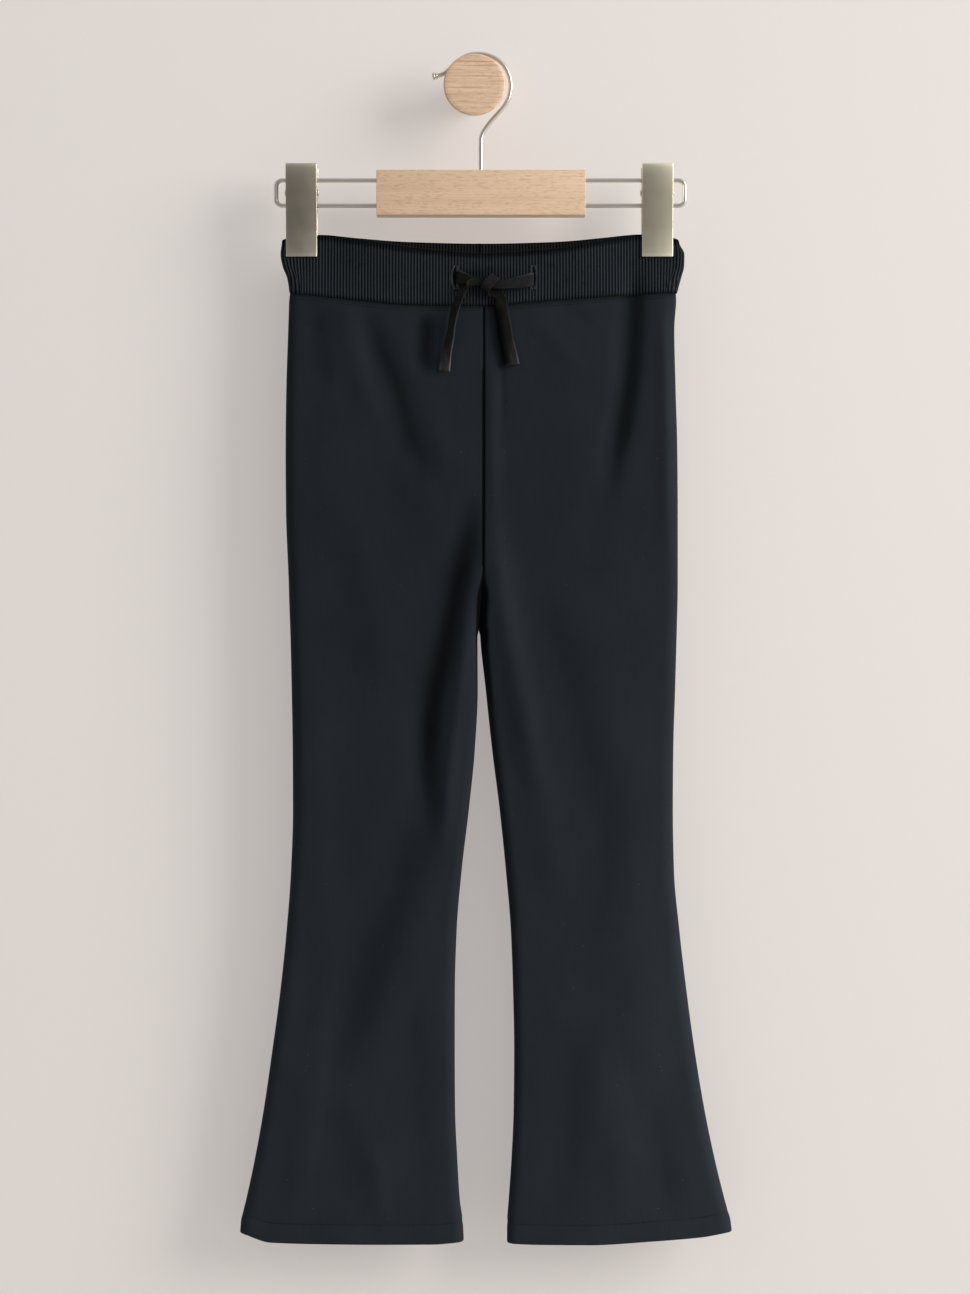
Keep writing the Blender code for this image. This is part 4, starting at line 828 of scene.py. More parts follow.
def tapeRings(key):
    rows = curveThrough([(*row[:5], *row[5]) for row in tapeCut[key]], tapeCut["steps"])
    centre = np.array([(x, hangY - clothFace(x, z) - out, z) for x, z, out in rows[:, :3]])
    run = np.gradient(centre, axis=0)
    run /= np.linalg.norm(run, axis=1)[:, None]
    wide = rows[:, 5:8] - (rows[:, 5:8] * run).sum(axis=1)[:, None] * run
    wide /= np.linalg.norm(wide, axis=1)[:, None]
    thick = np.cross(wide, run)
    along = np.concatenate([[0.0], np.cumsum(np.linalg.norm(np.diff(centre, axis=0), axis=1))])
    count = tapeCut["sectionPoints"]
    angle = np.arange(count + 1) / count * 2 * np.pi
    u = np.sign(np.cos(angle)) * np.abs(np.cos(angle)) ** 0.75 / 2
    v = np.sign(np.sin(angle)) * np.abs(np.sin(angle)) ** 0.45 / 2
    roll = 1.0 + tapeCut["edgeRoll"] * bell(np.abs(u) - 0.4, 0.1)
    bend = np.zeros((len(rows), count + 1))
    for place, sharp, deep, start, end in tapeLooks[key]["creases"]:
        here = softStep(start, start + 8.0, along) * (1.0 - softStep(end - 8.0, end, along))
        bend += deep * here[:, None] * bell(u[None, :] - place, sharp)
    bend += 0.25 * np.sin(along / 3.1)[:, None] * np.sin(u * 9.0)[None, :]
    bend += 0.2 * np.sin(along / 7.3 + 1.0)[:, None] * u
    points = (centre[:, None, :] + wide[:, None, :] * (u[None, :, None] * rows[:, 3][:, None, None])
              + thick[:, None, :] * ((v * roll)[None, :, None] * rows[:, 4][:, None, None] + bend[:, :, None]))
    texture = np.stack([np.broadcast_to(u[None, :], bend.shape) * rows[:, 3][:, None],
                        np.broadcast_to(along[:, None], bend.shape)], axis=2)
    return centre, points, texture, along


def makeCord(name, key):
    centre, points, texture, along = tapeRings(key)
    bm = gridPiece(points * mm, texture, closed=True)
    bmesh.ops.holes_fill(bm, edges=[e for e in bm.edges if e.is_boundary], sides=0)
    bmesh.ops.recalc_face_normals(bm, faces=bm.faces)
    layer = bm.verts.layers.float_color["shadeAndTone"]
    uvLayer = bm.loops.layers.uv["cloth"]
    (rightHighlight, leftHighlight), (start, end, deep) = tapeLooks[key]["edges"], tapeLooks[key]["darkSide"]
    places, shadesAndTones = zip(*tapeLooks[key]["shadesAndTones"])
    for v in bm.verts:
        across, down = v.link_loops[0][uvLayer].uv
        # painted shade and tone along the tape, a painted highlight along one edge and painted shade on one side
        shade = np.array([np.interp(down, places, tones) for tones in zip(*shadesAndTones)])
        edge = (rightHighlight if across > 0 else leftHighlight) * bell(abs(across) - 4.4, 0.55)
        inShade = softStep(start, start + 6.0, down) * (1.0 - softStep(end, end + 6.0, down))
        shade = shade * (1.0 - deep * inShade * (1.0 - softStep(-3.6, 1.2, across)))
        v[layer] = (*(shade * (1.0 + edge)), 1.0)
    print(name, "is", round(along[-1], 1), "mm long")
    return finishPiece(name, bm, tape), [tuple(p * mm) for p in centre]


lowerCord, lowerPath = makeCord("drawstring_left", "lower")
upperCord, upperPath = makeCord("drawstring_right", "upper")
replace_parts(lowerCord, "drawstring_run_left", "drawstring_end_right", "drawstring_knot")
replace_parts(upperCord, "drawstring_run_right", "drawstring_end_left")
print("drawstring made")


# Leg panels

panelGrid = {"outer": 14, "middle": 62, "inner": 12, "rows": 200, "foldRows": 6, "turnRows": 5, "foldRadius": 1.45}
# Half width and strength of the seams' shades, and of how far the cloth is drawn in at the band and by the stitches
panelLooks = {"centreShade": (0.8, 0.8), "sideShade": (0.7, 0.35), "bandShade": (0.9, 0.55), "bandDip": (1.6, 0.5),
              "hemDip": (1.3, 0.35), "stitchDip": (0.9, 0.22), "stitchBelow": 3.1}


def panelColumns():
    # the zone in which each column lies, from the outer edge to the inner one, and the share of it gone in
    outer, inner = roundSteps(panelGrid["outer"]), roundSteps(panelGrid["inner"])[::-1]
    middle = np.arange(1, panelGrid["middle"]) / panelGrid["middle"]
    return np.repeat((0, 1, 2), (len(outer), len(middle), len(inner))), np.concatenate([outer, middle, inner])


def panelAcross(side, face, zones, gone, z):
    toward = toMiddle[side]
    outer, inner = legEdges(side, face, z)
    innerRound = roundCurves[side](z)
    outerEnd = outer + toward * legCut["outerRound"]
    innerStart = inner - toward * innerRound
    return np.select([zones == 0, zones == 1],
                     [outer + toward * legCut["outerRound"] * gone, blend(outerEnd, innerStart, gone)],
                     inner - toward * innerRound * gone)


def panelPoints(side, face):
    out = facing[face]
    toward = toMiddle[side]
    zones, gone = panelColumns()
    top, low = legCut["sections"][0][0], legCut["sections"][-1][0]
    radius = panelGrid["foldRadius"]
    t = np.linspace(0.0, 1.0, panelGrid["rows"] + 1)
    sections = blend(top, low + radius, t)
    turned = low + radius + (legCut["hemDepth"] - radius) * np.linspace(0.0, 1.0, panelGrid["turnRows"] + 1)[1:]
    allRows = np.concatenate([sections, turned])
    z = np.broadcast_to(allRows[:, None], (len(allRows), len(zones)))
    zones, gone = np.broadcast_to(zones, z.shape), np.broadcast_to(gone, z.shape)
    x = panelAcross(side, face, zones, gone, z)
    outerEdge, innerEdge = legCurves[side + "Outer"](z), legCurves[side + "Inner"](z)
    across = np.clip((x - outerEdge) / (innerEdge - outerEdge), 0.0, 1.0)
    seam = bandCurves[face + "Seam"](x) - legCut["waistGap"]
    foot = hemCurves[side](across)
    height = (z + (seam - top) * (1.0 - softStep(-top, -top + legCut["topBend"], -z))
              + (foot - low) * softStep(-low - legCut["hemDepth"] * 2, -low, -z))
    x = panelAcross(side, face, zones, gone, height)
    depth = legDepth(side, face, x, height)
    # outward direction of the cloth in the level plane
    dx, dd = np.gradient(x, axis=1), np.gradient(depth, axis=1)
    size = np.hypot(dx, dd)
    nx, nd = -dd * toward / size, dx * toward / size
    parting = legCurves[face + "Part"](height[:, -1])
    turn = np.pi / 2 * parting ** 1.5
    nx[:, 0], nd[:, 0] = -toward, 0.0
    nx[:, -1], nd[:, -1] = toward * np.sin(turn), np.cos(turn)
    lengths = np.concatenate([np.zeros((len(allRows), 1)),
                              np.cumsum(np.hypot(np.diff(x, axis=1), np.diff(depth, axis=1)), axis=1)], axis=1)
    fromEdge = np.minimum(lengths, lengths[:, -1:] - lengths)
    fromInner = lengths[:, -1:] - lengths
    joined = 1.0 - legCurves[face + "Part"](height)
    dip = bell(fromEdge, legCut["edgeReach"], legCut["edgeDip"]) * (1.0 - joined * (fromInner < 20.0))
    dip += joined * bell(fromInner, legCut["centreReach"], legCut["centreDip"])
    # the seams lie in shade, and so does the top under the band
    reach, dark = panelLooks["centreShade"]
    shade = 1.0 - dark * joined * np.exp(-(fromInner / reach) ** 4)
    shade = shade * (1.0 - bell(fromEdge, *panelLooks["sideShade"]))
    shade = shade * (1.0 - bell(height[:1] - height, *panelLooks["bandShade"]))
    fold = foldHeight(face, x, height)
    # painted shade in the folds and painted light on the ridges
    shade = shade * np.exp(legCut["foldShade"] * np.minimum(fold, 0.0) + legCut["ridgeLight"] * np.maximum(fold, 0.0))
    # painted shade in the hollow between the legs
    reach = hollowShadeCurves[side](height)
    inside = 1.0 - softStep(reach * 0.7, reach * 1.05, (legEdges(side, face, height)[1] - x) * toward)
    shade = shade * (1.0 - hollowShadeCurves["dark"](height) * inside)
    # painted light: lighter down the legs and towards the right
    shade = shade * (1.0 + legCut["paintedLightFoot"] * softStep(legCut["paintedLightFrom"], -low, -height))
    shade = shade * (1.0 + legCut["paintedLightRight"] * softStep(20.0, 140.0, x))
    # painted shadow of the right tape end: a dark line on the front panel
    under = legCut["tapeShadowLine"]
    if face == "front":
        along = softStep(under["foot"], under["foot"] + 6.0, height)
        off = x - under["x"] - under["slope"] * (height - under["z"])
        shade = shade * (1.0 - along * bell(off, under["wide"], under["dark"]))
    dip += bell(height[:1] - height, *panelLooks["bandDip"])
    dip += bell(height - foot - legCut["hemDepth"], *panelLooks["hemDip"])
    if face == "front":
        dip += bell(height - height[:1] + panelLooks["stitchBelow"], *panelLooks["stitchDip"])
    n = panelGrid["rows"] + 1
    rows, texture, shadesAndTones = [], [], []

    def addRow(k, inside, drop):
        sunk = dip[k] + inside
        rows.append(np.stack([x[k] - nx[k] * sunk, hangY + out * (depth[k] - nd[k] * sunk),
                              height[k] - drop], axis=1))
        shadesAndTones.append(np.repeat(shade[k][:, None], 3, axis=1))

    for k in range(n):
        addRow(k, 0.0, 0.0)
        texture.append(np.stack([lengths[k], -height[k]], axis=1))
    for k in range(1, panelGrid["foldRows"] + 1):
        angle = math.pi * k / panelGrid["foldRows"]
        addRow(n - 1, radius * (1.0 - math.cos(angle)), radius * math.sin(angle))
        texture.append(np.stack([lengths[n - 1], -height[n - 1] + radius * angle], axis=1))
    for k in range(n, len(allRows)):
        addRow(k, 2 * radius, 0.0)
        texture.append(np.stack([lengths[k], -height[n - 1] + radius * math.pi + height[k] - height[n - 1]], axis=1))
    return np.array(rows), np.array(texture), np.array(shadesAndTones)


def makePanel(side, face):
    points, texture, shadesAndTones = panelPoints(side, face)
    bm = gridPiece(points * mm, texture / 10.0, shadesAndTones)
    # the open grid's faces are turned outwards, away from the mid plane
    middle = [f for f in bm.faces if abs(f.normal.y) > 0.9 and f.calc_center_median().z > -0.7]
    if sum(f.normal.y for f in middle) * facing[face] < 0:
        bmesh.ops.reverse_faces(bm, faces=bm.faces)
    panel = finishPiece(f"{face}_{side}_panel", bm, jersey)
    wall = panel.modifiers.new("cloth", "SOLIDIFY")
    wall.thickness = legCut["jersey"] * mm
    wall.offset = -1.0
    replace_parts(panel, f"{face}_{side}_leg")


for side in toMiddle:
    for face in facing:
        makePanel(side, face)
print("leg panels made")


# Waistband

bandGrid = {"outside": 18, "fold": 6, "inside": 12, "closing": 2, "faceSamples": 500, "roundSteps": 16}
# Half width and strength of what the seam, the drawstring, the slits and the edges do to the band
bandLooks = {
    "joinDip": (0.45, 0.9), "joinShade": (0.6, 0.6), "joinLight": (0.5, 0.3), "joinLightAt": 1.5,
    "drawnAt": (4.0, -135.0), "drawnReach": (17.0, 3.6), "drawnDark": 0.5, "lip": (0.6, 0.35), "lipAt": 0.8,
    "curl": (0.035, 0.7), "footShade": (0.03, 0.6), "topShade": (0.90, 0.97, 0.8), "closed": 0.7,
    # painted shade on the fold over the top, and on the inside, which is also browner
    "bandFoldShade": (0.16, 0.14, 0.12), "insideShadeAndTone": (0.62, 0.55, 0.49), "pitch": 2.16}


def bandRing(level):
    # the ring at one level as closely set points, from the centre back round by the left side
    left, right = float(sideCurves["left"](level)), float(sideCurves["right"](level))
    width = float(sideCurves["round"](level))
    join = legCut["backShift"] + legCut["sections"][0][2]
    fine = width * roundSteps(bandGrid["roundSteps"])
    samples = bandGrid["faceSamples"]
    backLeft = np.concatenate([left + fine, np.linspace(left + width, join, samples)[1:]])[::-1]
    front = np.concatenate([left + fine, np.linspace(left + width, right - width, 2 * samples)[1:],
                            (right - fine)[::-1][1:]])
    backRight = np.concatenate([right - fine, np.linspace(right - width, join, samples)[1:]])
    parts = []
    for face, xs in (("back", backLeft), ("front", front), ("back", backRight)):
        depth, z = bandDepth(face, np.full(xs.shape, level), xs)
        line = np.stack([xs, hangY + facing[face] * depth, z], axis=1)
        parts.append(line if not parts else line[1:])
    return np.concatenate(parts)


def ribPlaces():
    # where the ribs' points are among the ring's own, spread evenly at the band's half height, and their x
    line = bandRing(0.5)
    lengths = np.concatenate([[0.0], np.cumsum(np.hypot(np.diff(line[:, 0]), np.diff(line[:, 1])))])
    count = bandCut["ribs"] * bandCut["ribPoints"]
    ids = np.interp(lengths[-1] * np.arange(count + 1) / count, lengths, np.arange(len(line)))
    return ids, np.interp(ids, np.arange(len(line)), line[:, 0])


def evenRing(level, places, shift):
    # the ribs stand upright; only near the sides do they follow the outline
    line = bandRing(level)
    ids, xs = places
    leftTurn = bandGrid["faceSamples"] + bandGrid["roundSteps"] - 1
    rightTurn = leftTurn + 2 * (bandGrid["faceSamples"] + bandGrid["roundSteps"]) - 1
    upright = ids.copy()
    for first, final in ((0, leftTurn), (leftTurn, rightTurn), (rightTurn, len(line) - 1)):
        here = (ids >= first) & (ids <= final)
        spots, at = line[first:final + 1, 0], np.arange(first, final + 1)
        if spots[0] > spots[-1]:
            spots, at = spots[::-1], at[::-1]
        upright[here] = np.interp(xs[here], spots, at)
    middle, half = (xs.max() + xs.min()) / 2, (xs.max() - xs.min()) / 2
    ids = blend(upright, ids, np.abs((xs - middle) / half) ** bandCut["uprightPower"])
    steps = np.arange(len(ids))
    ids = np.interp(np.clip(steps + shift, 0, len(ids) - 1), steps, ids)
    points = np.stack([np.interp(ids, np.arange(len(line)), line[:, c]) for c in range(3)], axis=1)
    run = np.roll(points[:-1], -3, axis=0) - np.roll(points[:-1], 3, axis=0)
    size = np.hypot(run[:, 0], run[:, 1])
    away = np.stack([run[:, 1] / size, -run[:, 0] / size], axis=1)
    away = np.concatenate([away, away[:1]])
    return points, away


def bandPoints():
    count = bandCut["ribs"] * bandCut["ribPoints"]
    ids = np.arange(count + 1)
    phase = ids / bandCut["ribPoints"]
    crest = np.abs(np.sin(np.pi * phase)) ** 0.8
    randomness = random.Random(7)
    perRib = np.array([randomness.uniform(-1.0, 1.0) for _ in range(bandCut["ribs"] + 1)])
    height = 1.0 + 0.18 * np.interp(phase, np.arange(len(perRib)), perRib)
    groove = bandCut["relief"] * (1.0 - crest) * height
    insideGroove = bandCut["insideRelief"] * (1.0 - crest)
    wall = bandCut["wall"]
    radius = wall / 2
    rows, texture, shadesAndTones = [], [], []
    run = 0.0
    last = None
    fromJoin = np.minimum(phase, bandCut["ribs"] - phase)
    places = ribPlaces()

    def addRow(level, inside, lift, sink, slits, shade=(1.0, 1.0, 1.0)):
        nonlocal run, last
        sway = 0.25 * np.sin(phase / 23.0 + 2.2 * level) * math.sin(math.pi * level)
        ends = np.minimum(1.0, np.minimum(phase, bandCut["ribs"] - phase) / 6.0)
        points, away = evenRing(level, places, sway * ends)
        inFront = points[:, 1] < hangY
        join = bell(fromJoin, *bandLooks["joinDip"])
        joinShade = (1.0 - bell(fromJoin, *bandLooks["joinShade"])
                     + bell(fromJoin - bandLooks["joinLightAt"], *bandLooks["joinLight"]))
        # the band lies in shade above the drawstring, where it is drawn in
        (drawnX, drawnZ), (reachX, reachZ) = bandLooks["drawnAt"], bandLooks["drawnReach"]
        drawn = bell(points[:, 0] - drawnX, reachX) * bell(points[:, 2] - drawnZ, reachZ)
        shadow = joinShade * (1.0 - bandLooks["drawnDark"] * drawn * inFront)
        shadesAndTones.append(np.array(shade)[None, :] * shadow[:, None])
        depth = inside + sink + (join if inside < radius else -join * 0.4)
        if slits:
            for slit in bandCut["slits"]:
                rise = (points[:, 2] - slit["z"]) / bandCut["slitHalf"]
                lens = np.clip(1.0 - rise ** 2, 0.0, 1.0)
                half = bandCut["slitWide"] * np.sqrt(lens)
                off = np.abs(points[:, 0] - slit["x"] - slit["bow"] * lens)
                inSlit = (1.0 - softStep(half * 0.6, half + 0.45, off)) * (lens > 0) * inFront
                lip = bell(off - half - bandLooks["lipAt"], *bandLooks["lip"]) * (lens > 0.02) * inFront
                depth = depth + bandCut["slitDeep"] * inSlit - lip
        row = points.copy()
        row[:, 0] -= away[:, 0] * depth
        row[:, 1] -= away[:, 1] * depth
        row[:, 2] += lift
        if last is not None:
            run += float(np.median(np.linalg.norm(row - last, axis=1)))
        last = row
        rows.append(row)
        texture.append(np.stack([phase, np.full(phase.shape, run / bandLooks["pitch"])], axis=1))

    for level in np.linspace(0.0, 1.0, bandGrid["outside"] + 1) ** 0.92:
        start, end, dark = bandLooks["topShade"]
        dim = (1.0 - dark * softStep(start, end, level)) * (1.0 - bell(level, *bandLooks["footShade"]))
        addRow(level, bell(level, *bandLooks["curl"]), -radius * level, groove, True, (dim, dim, dim))
    # the fold over the top carries painted shade
    for k in range(1, bandGrid["fold"]):
        angle = math.pi * k / bandGrid["fold"]
        addRow(1.0, radius * (1.0 - math.cos(angle)), radius * (math.sin(angle) - 1.0),
               groove * abs(math.cos(angle)), False, bandLooks["bandFoldShade"])
    # the inside carries painted shade and a browner tone
    for level in np.linspace(1.0, 0.0, bandGrid["inside"] + 1):
        addRow(level, wall, -radius * level, -insideGroove, False, bandLooks["insideShadeAndTone"])
    for k in range(1, bandGrid["closing"]):
        addRow(0.0, blend(wall, bandLooks["closed"], k / bandGrid["closing"]), 0.0, groove, False)
    rows.append(rows[0])
    texture.append(np.stack([phase, np.full(phase.shape, run / bandLooks["pitch"] + 1.0)], axis=1))
    shadesAndTones.append(shadesAndTones[0])
    for row in rows:
        row[-1] = row[0]
    return np.array(rows), np.array(texture), np.array(shadesAndTones)


points, texture, shadesAndTones = bandPoints()
bm = gridPiece(points * mm, texture, shadesAndTones, closed=True)
waistband = finishPiece("waistband_rib", bm, rib)
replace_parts(waistband, "waistband")
print("waistband made")


# Sewing

sewing = {"stitch": 2.4, "gap": 0.8, "thread": 0.17, "steps": 60,
          # height over the panel's edge, level of the ends, margins at the outer and inner end, depth in the cloth
          "waist": (-3.4, -156.0, 2.2, 1.2, 0.18), "hem": (14.5, -811.5, 1.6, 1.6, 0.30),
          "slitStitches": 34, "slitReach": 0.96, "slitThread": 0.26, "slitLong": 1.35, "slitSunk": (0.45, 0.05)}


def addStitch(bm, start, end, away, radius, sides=6):
    # one stitch: a short rounded bar of thread, a little sunk at its ends
    a, b = Vector(start), Vector(end)
    verts = bmesh.ops.create_cone(bm, cap_ends=True, segments=sides, radius1=radius, radius2=radius,
                                  depth=(b - a).length)["verts"]
    caps = [f for f in {f for v in verts for f in v.link_faces} if len(f.verts) == sides]
    bmesh.ops.inset_region(bm, faces=caps, thickness=radius * 0.35, depth=radius * 0.3, use_even_offset=True)
    verts = list({w for f in caps for v in f.verts for beside in v.link_faces for w in beside.verts})
    turn = (b - a).to_track_quat("Z", "Y").to_matrix()
    bmesh.ops.rotate(bm, matrix=turn, verts=verts, cent=(0.0, 0.0, 0.0))
    bmesh.ops.translate(bm, vec=(a + b) / 2 + Vector(away) * radius * 0.45, verts=verts)


def stitchRow(bm, places, face, sink):
    # stitches along places on the front or back of the legs
    out = facing[face]
    line = [(x, hangY + out * (clothFace(x, z, face) - sink), z) for x, z in places]
    lengths = [0.0]
    for a, b in zip(line, line[1:]):
        lengths.append(lengths[-1] + math.dist(a, b))
    pitch = sewing["stitch"] + sewing["gap"]
    for k in range(int(lengths[-1] // pitch)):
        ends = []
        for place in (k * pitch, k * pitch + sewing["stitch"]):
            i = min(len(lengths) - 2, int(np.searchsorted(lengths, place)) - 1 if place > 0 else 0)
            t = (place - lengths[i]) / (lengths[i + 1] - lengths[i])
            ends.append(Vector(line[i]).lerp(Vector(line[i + 1]), t) * mm)
        addStitch(bm, *ends, (0.0, out, 0.0), sewing["thread"] * mm)


for name, kind in (("waist_topstitch", "waist"), ("hem_stitch", "hem")):
    rise, readAt, fromOuter, fromInner, sink = sewing[kind]
    bm = bmesh.new()
    for face in facing:
        for side, toward in toMiddle.items():
            outer, inner = (float(v) for v in legEdges(side, face, readAt))
            places = []
            for t in np.linspace(0.0, 1.0, sewing["steps"] + 1):
                x = blend(outer + toward * fromOuter, inner - toward * fromInner, t)
                if kind == "waist":
                    z = float(bandCurves[face + "Seam"](x))
                else:
                    z = float(hemCurves[side]((x - outer) / (inner - outer)))
                places.append((x, z + rise))
            stitchRow(bm, places, face, sink)
    finishPiece(name, bm, darkThread)

# satin stitches round the two slits
bm = bmesh.new()
for slit in bandCut["slits"]:
    for rise in np.linspace(-sewing["slitReach"], sewing["slitReach"], sewing["slitStitches"]):
        for way in (-1.0, 1.0):
            lens = 1.0 - rise ** 2
            z = slit["z"] + rise * bandCut["slitHalf"]
            near = slit["x"] + slit["bow"] * lens + way * (bandCut["slitWide"] * math.sqrt(lens) - 0.1)
            ends = [Vector((x, hangY - clothFace(x, z) + sink, z)) * mm
                    for x, sink in zip((near, near + way * sewing["slitLong"]), sewing["slitSunk"])]
            addStitch(bm, *ends, (0.0, -1.0, 0.0), sewing["slitThread"] * mm)
finishPiece("slit_stitches", bm, slitThread)
print("sewing made")


# Peg, hook and hanger

pegProfile = (
    (0.0, 0.0), (12.0, 0.0), (12.0, 4.0), (13.0, 12.0), (15.0, 21.0), (17.8, 29.0), (18.9, 31.7), (19.1, 32.3),
    (19.1, 36.7), (19.5, 37.0), (21.5, 37.4), (22.05, 37.9), (22.2, 38.5), (22.2, 39.9), (22.05, 40.4),
    (21.7, 40.75), (21.1, 40.98), (18.0, 41.03), (0.0, 41.06))
bm = bmesh.new()
spinProfile(bm, pegProfile, 96, (0.0, 0.0, 0.0), (0.0, -1.0, 0.0))
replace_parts(finishPiece("peg", bm, beechPeg, 40.0), "wall_peg")

wireCut = {
    "radius": 1.6, "rodTop": -68.0, "rodLow": -86.2, "ends": (-142.7, 151.4), "corner": 4.4, "cornerSteps": 12,
    "hook": (
        (-27.6, 7.2), (-26.2, 7.4), (-24.5, 7.8), (-21.2, 9.3), (-18.7, 11.3), (-15.9, 13.8), (-12.6, 16.9),
        (-8.6, 20.1), (-4.3, 22.1), (0.5, 22.9), (5.3, 22.9), (10.4, 21.9), (15.4, 19.7), (19.7, 16.3), (23.2, 11.5),
        (25.4, 5.7), (26.1, -0.7), (24.9, -8.0), (21.7, -14.2), (17.8, -18.9), (12.4, -25.0), (7.9, -30.9),
        (5.6, -34.9), (4.7, -39.6), (4.7, -50.0), (4.7, -63.5)),
    # the tip: a ring, a groove and an end disc
    "tip": (
        (0.0, -1.2), (1.55, -1.2), (1.65, -0.95), (2.15, -0.8), (2.35, -0.55), (2.35, 0.1), (2.2, 0.35), (1.75, 0.5),
        (1.7, 0.85), (2.45, 1.0), (2.68, 1.25), (2.7, 2.2), (2.5, 2.5), (2.0, 2.66), (0.0, 2.72)),
}
route = [(x, hangY, z) for x, z in curveThrough(wireCut["hook"], 5)]
bm = roundWire(route, wireCut["radius"], 5)
(tipX, tipZ), (neckX, neckZ) = wireCut["hook"][0], wireCut["hook"][2]
tipWay = Vector((tipX - neckX, 0.0, tipZ - neckZ)).normalized()
spinProfile(bm, wireCut["tip"], 32, (tipX, hangY, tipZ), tipWay)
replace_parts(finishPiece("hook_wire", bm, nickel, 50.0), "hanger_hook")

loop = []
for corner, (end, height) in enumerate(((1, "rodTop"), (0, "rodTop"), (0, "rodLow"), (1, "rodLow"))):
    x = wireCut["ends"][end] + (wireCut["corner"] if end == 0 else -wireCut["corner"])
    z = wireCut[height] + (-wireCut["corner"] if height == "rodTop" else wireCut["corner"])
    for k in range(wireCut["cornerSteps"] + 1):
        angle = math.pi / 2 * (corner + k / wireCut["cornerSteps"])
        loop.append((x + wireCut["corner"] * math.cos(angle), hangY, z + wireCut["corner"] * math.sin(angle)))
bm = roundWire(loop, wireCut["radius"], 5, closed=True)
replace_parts(finishPiece("wire_loop", bm, nickel), "hanger_wire")

blockCut = {"x": 4.7, "size": (150.0, 14.0, 32.4), "top": -61.5, "ease": 0.4, "hole": 1.95, "rodHole": 16.0,
            "hookHole": 8.0}


def makeBlock():
    bm = bmesh.new()
    bmesh.ops.create_cube(bm, size=1.0)
    bmesh.ops.scale(bm, vec=[s * mm for s in blockCut["size"]], verts=bm.verts)
    middle = (blockCut["x"], hangY, blockCut["top"] - blockCut["size"][2] / 2)
    bmesh.ops.translate(bm, vec=[c * mm for c in middle], verts=bm.verts)
    roundEdges(bm, bm.edges[:], blockCut["ease"], 4)
    block = finishPiece("block", bm, beechBlock)
    holes = bmesh.new()
    for way in (-1.0, 1.0):
        for z in (wireCut["rodTop"], wireCut["rodLow"]):
            addBore(holes, (blockCut["x"] + way * blockCut["size"][0] / 2, hangY, z), blockCut["hole"],
                    blockCut["rodHole"])
    addBore(holes, (blockCut["x"], hangY, blockCut["top"]), blockCut["hole"], blockCut["hookHole"], upright=True)
    combine(block, holes, "DIFFERENCE")
    smooth(block, 35.0)
    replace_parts(block, "hanger_block")


makeBlock()
print("hook, loop, block and peg made")


# Clips

clipParts = {"edge": 0.48, "endSoft": 3.6, "endThin": 0.62, "footOut": 0.42, "earEdge": 0.22, "boreEase": 0.2,
             "wire": 0.75, "coil": 2.55, "turns": 5.5, "turnSteps": 20, "legSteps": 8, "legBelow": 8.0,
             # the pin's head as radius and height over the shaft's end
             "head": ((0.0, 0.8), (1.9, 0.75), (2.3, 0.5), (2.4, 0.2), (2.35, 0.0), (clipCut["pinRadius"], 0.0))}


def plateDistance(z):
    t = max(0.0, (z - clipCut["bend"]) / (clipCut["top"] - clipCut["bend"]))
    return blend(clipCut["pinched"] + seamGap, clipCut["spread"], t)


def plateThickness(z):
    # the outer face rounds away softly at the top and turns out a little at the foot
    nearTop = max(0.0, 1.0 - (clipCut["top"] - z) / clipParts["endSoft"])
    nearFoot = max(0.0, 1.0 - (z - clipCut["foot"]) / clipParts["endSoft"])
    return clipCut["plate"] - clipParts["endThin"] * nearTop ** 2 + clipParts["footOut"] * nearFoot ** 2


def makePlate(middleX, out):
    # a pressed plate with rounded edges
    bm = bmesh.new()
    bmesh.ops.create_cube(bm, size=1.0)
    soft, foot, top, bend = clipParts["endSoft"], clipCut["foot"], clipCut["top"], clipCut["bend"]
    levels = ([foot + soft * share for share in (0.0, 0.25, 0.55, 1.0)] + [bend - 1.5, bend + 1.5]
              + [top - soft * share for share in (1.0, 0.55, 0.25, 0.0)])
    steps = len(levels) - 1
    for k in range(1, steps):
        bmesh.ops.bisect_plane(bm, geom=bm.verts[:] + bm.edges[:] + bm.faces[:],
                               plane_co=(0.0, 0.0, k / steps - 0.5), plane_no=(0.0, 0.0, 1.0))
    for v in bm.verts:
        z = levels[round((v.co.z + 0.5) * steps)]
        away = plateDistance(z) + (plateThickness(z) if v.co.y * out > 0 else 0.0)
        v.co = Vector((middleX + v.co.x * 2 * clipCut["half"], hangY + out * away, z)) * mm
    ends = [e for e in bm.edges if abs(e.verts[0].co.z - e.verts[1].co.z) < 1e-7
            and min(abs(e.verts[0].co.z - z * mm) for z in (foot, top)) < 1e-7]
    sides = [e for e in bm.edges if abs(e.verts[0].co.x - e.verts[1].co.x) < 1e-7
             and abs(e.verts[0].co.z - e.verts[1].co.z) > 1e-4]
    roundEdges(bm, ends + sides, clipParts["edge"], 3)
    bmesh.ops.recalc_face_normals(bm, faces=bm.faces)
    return bm


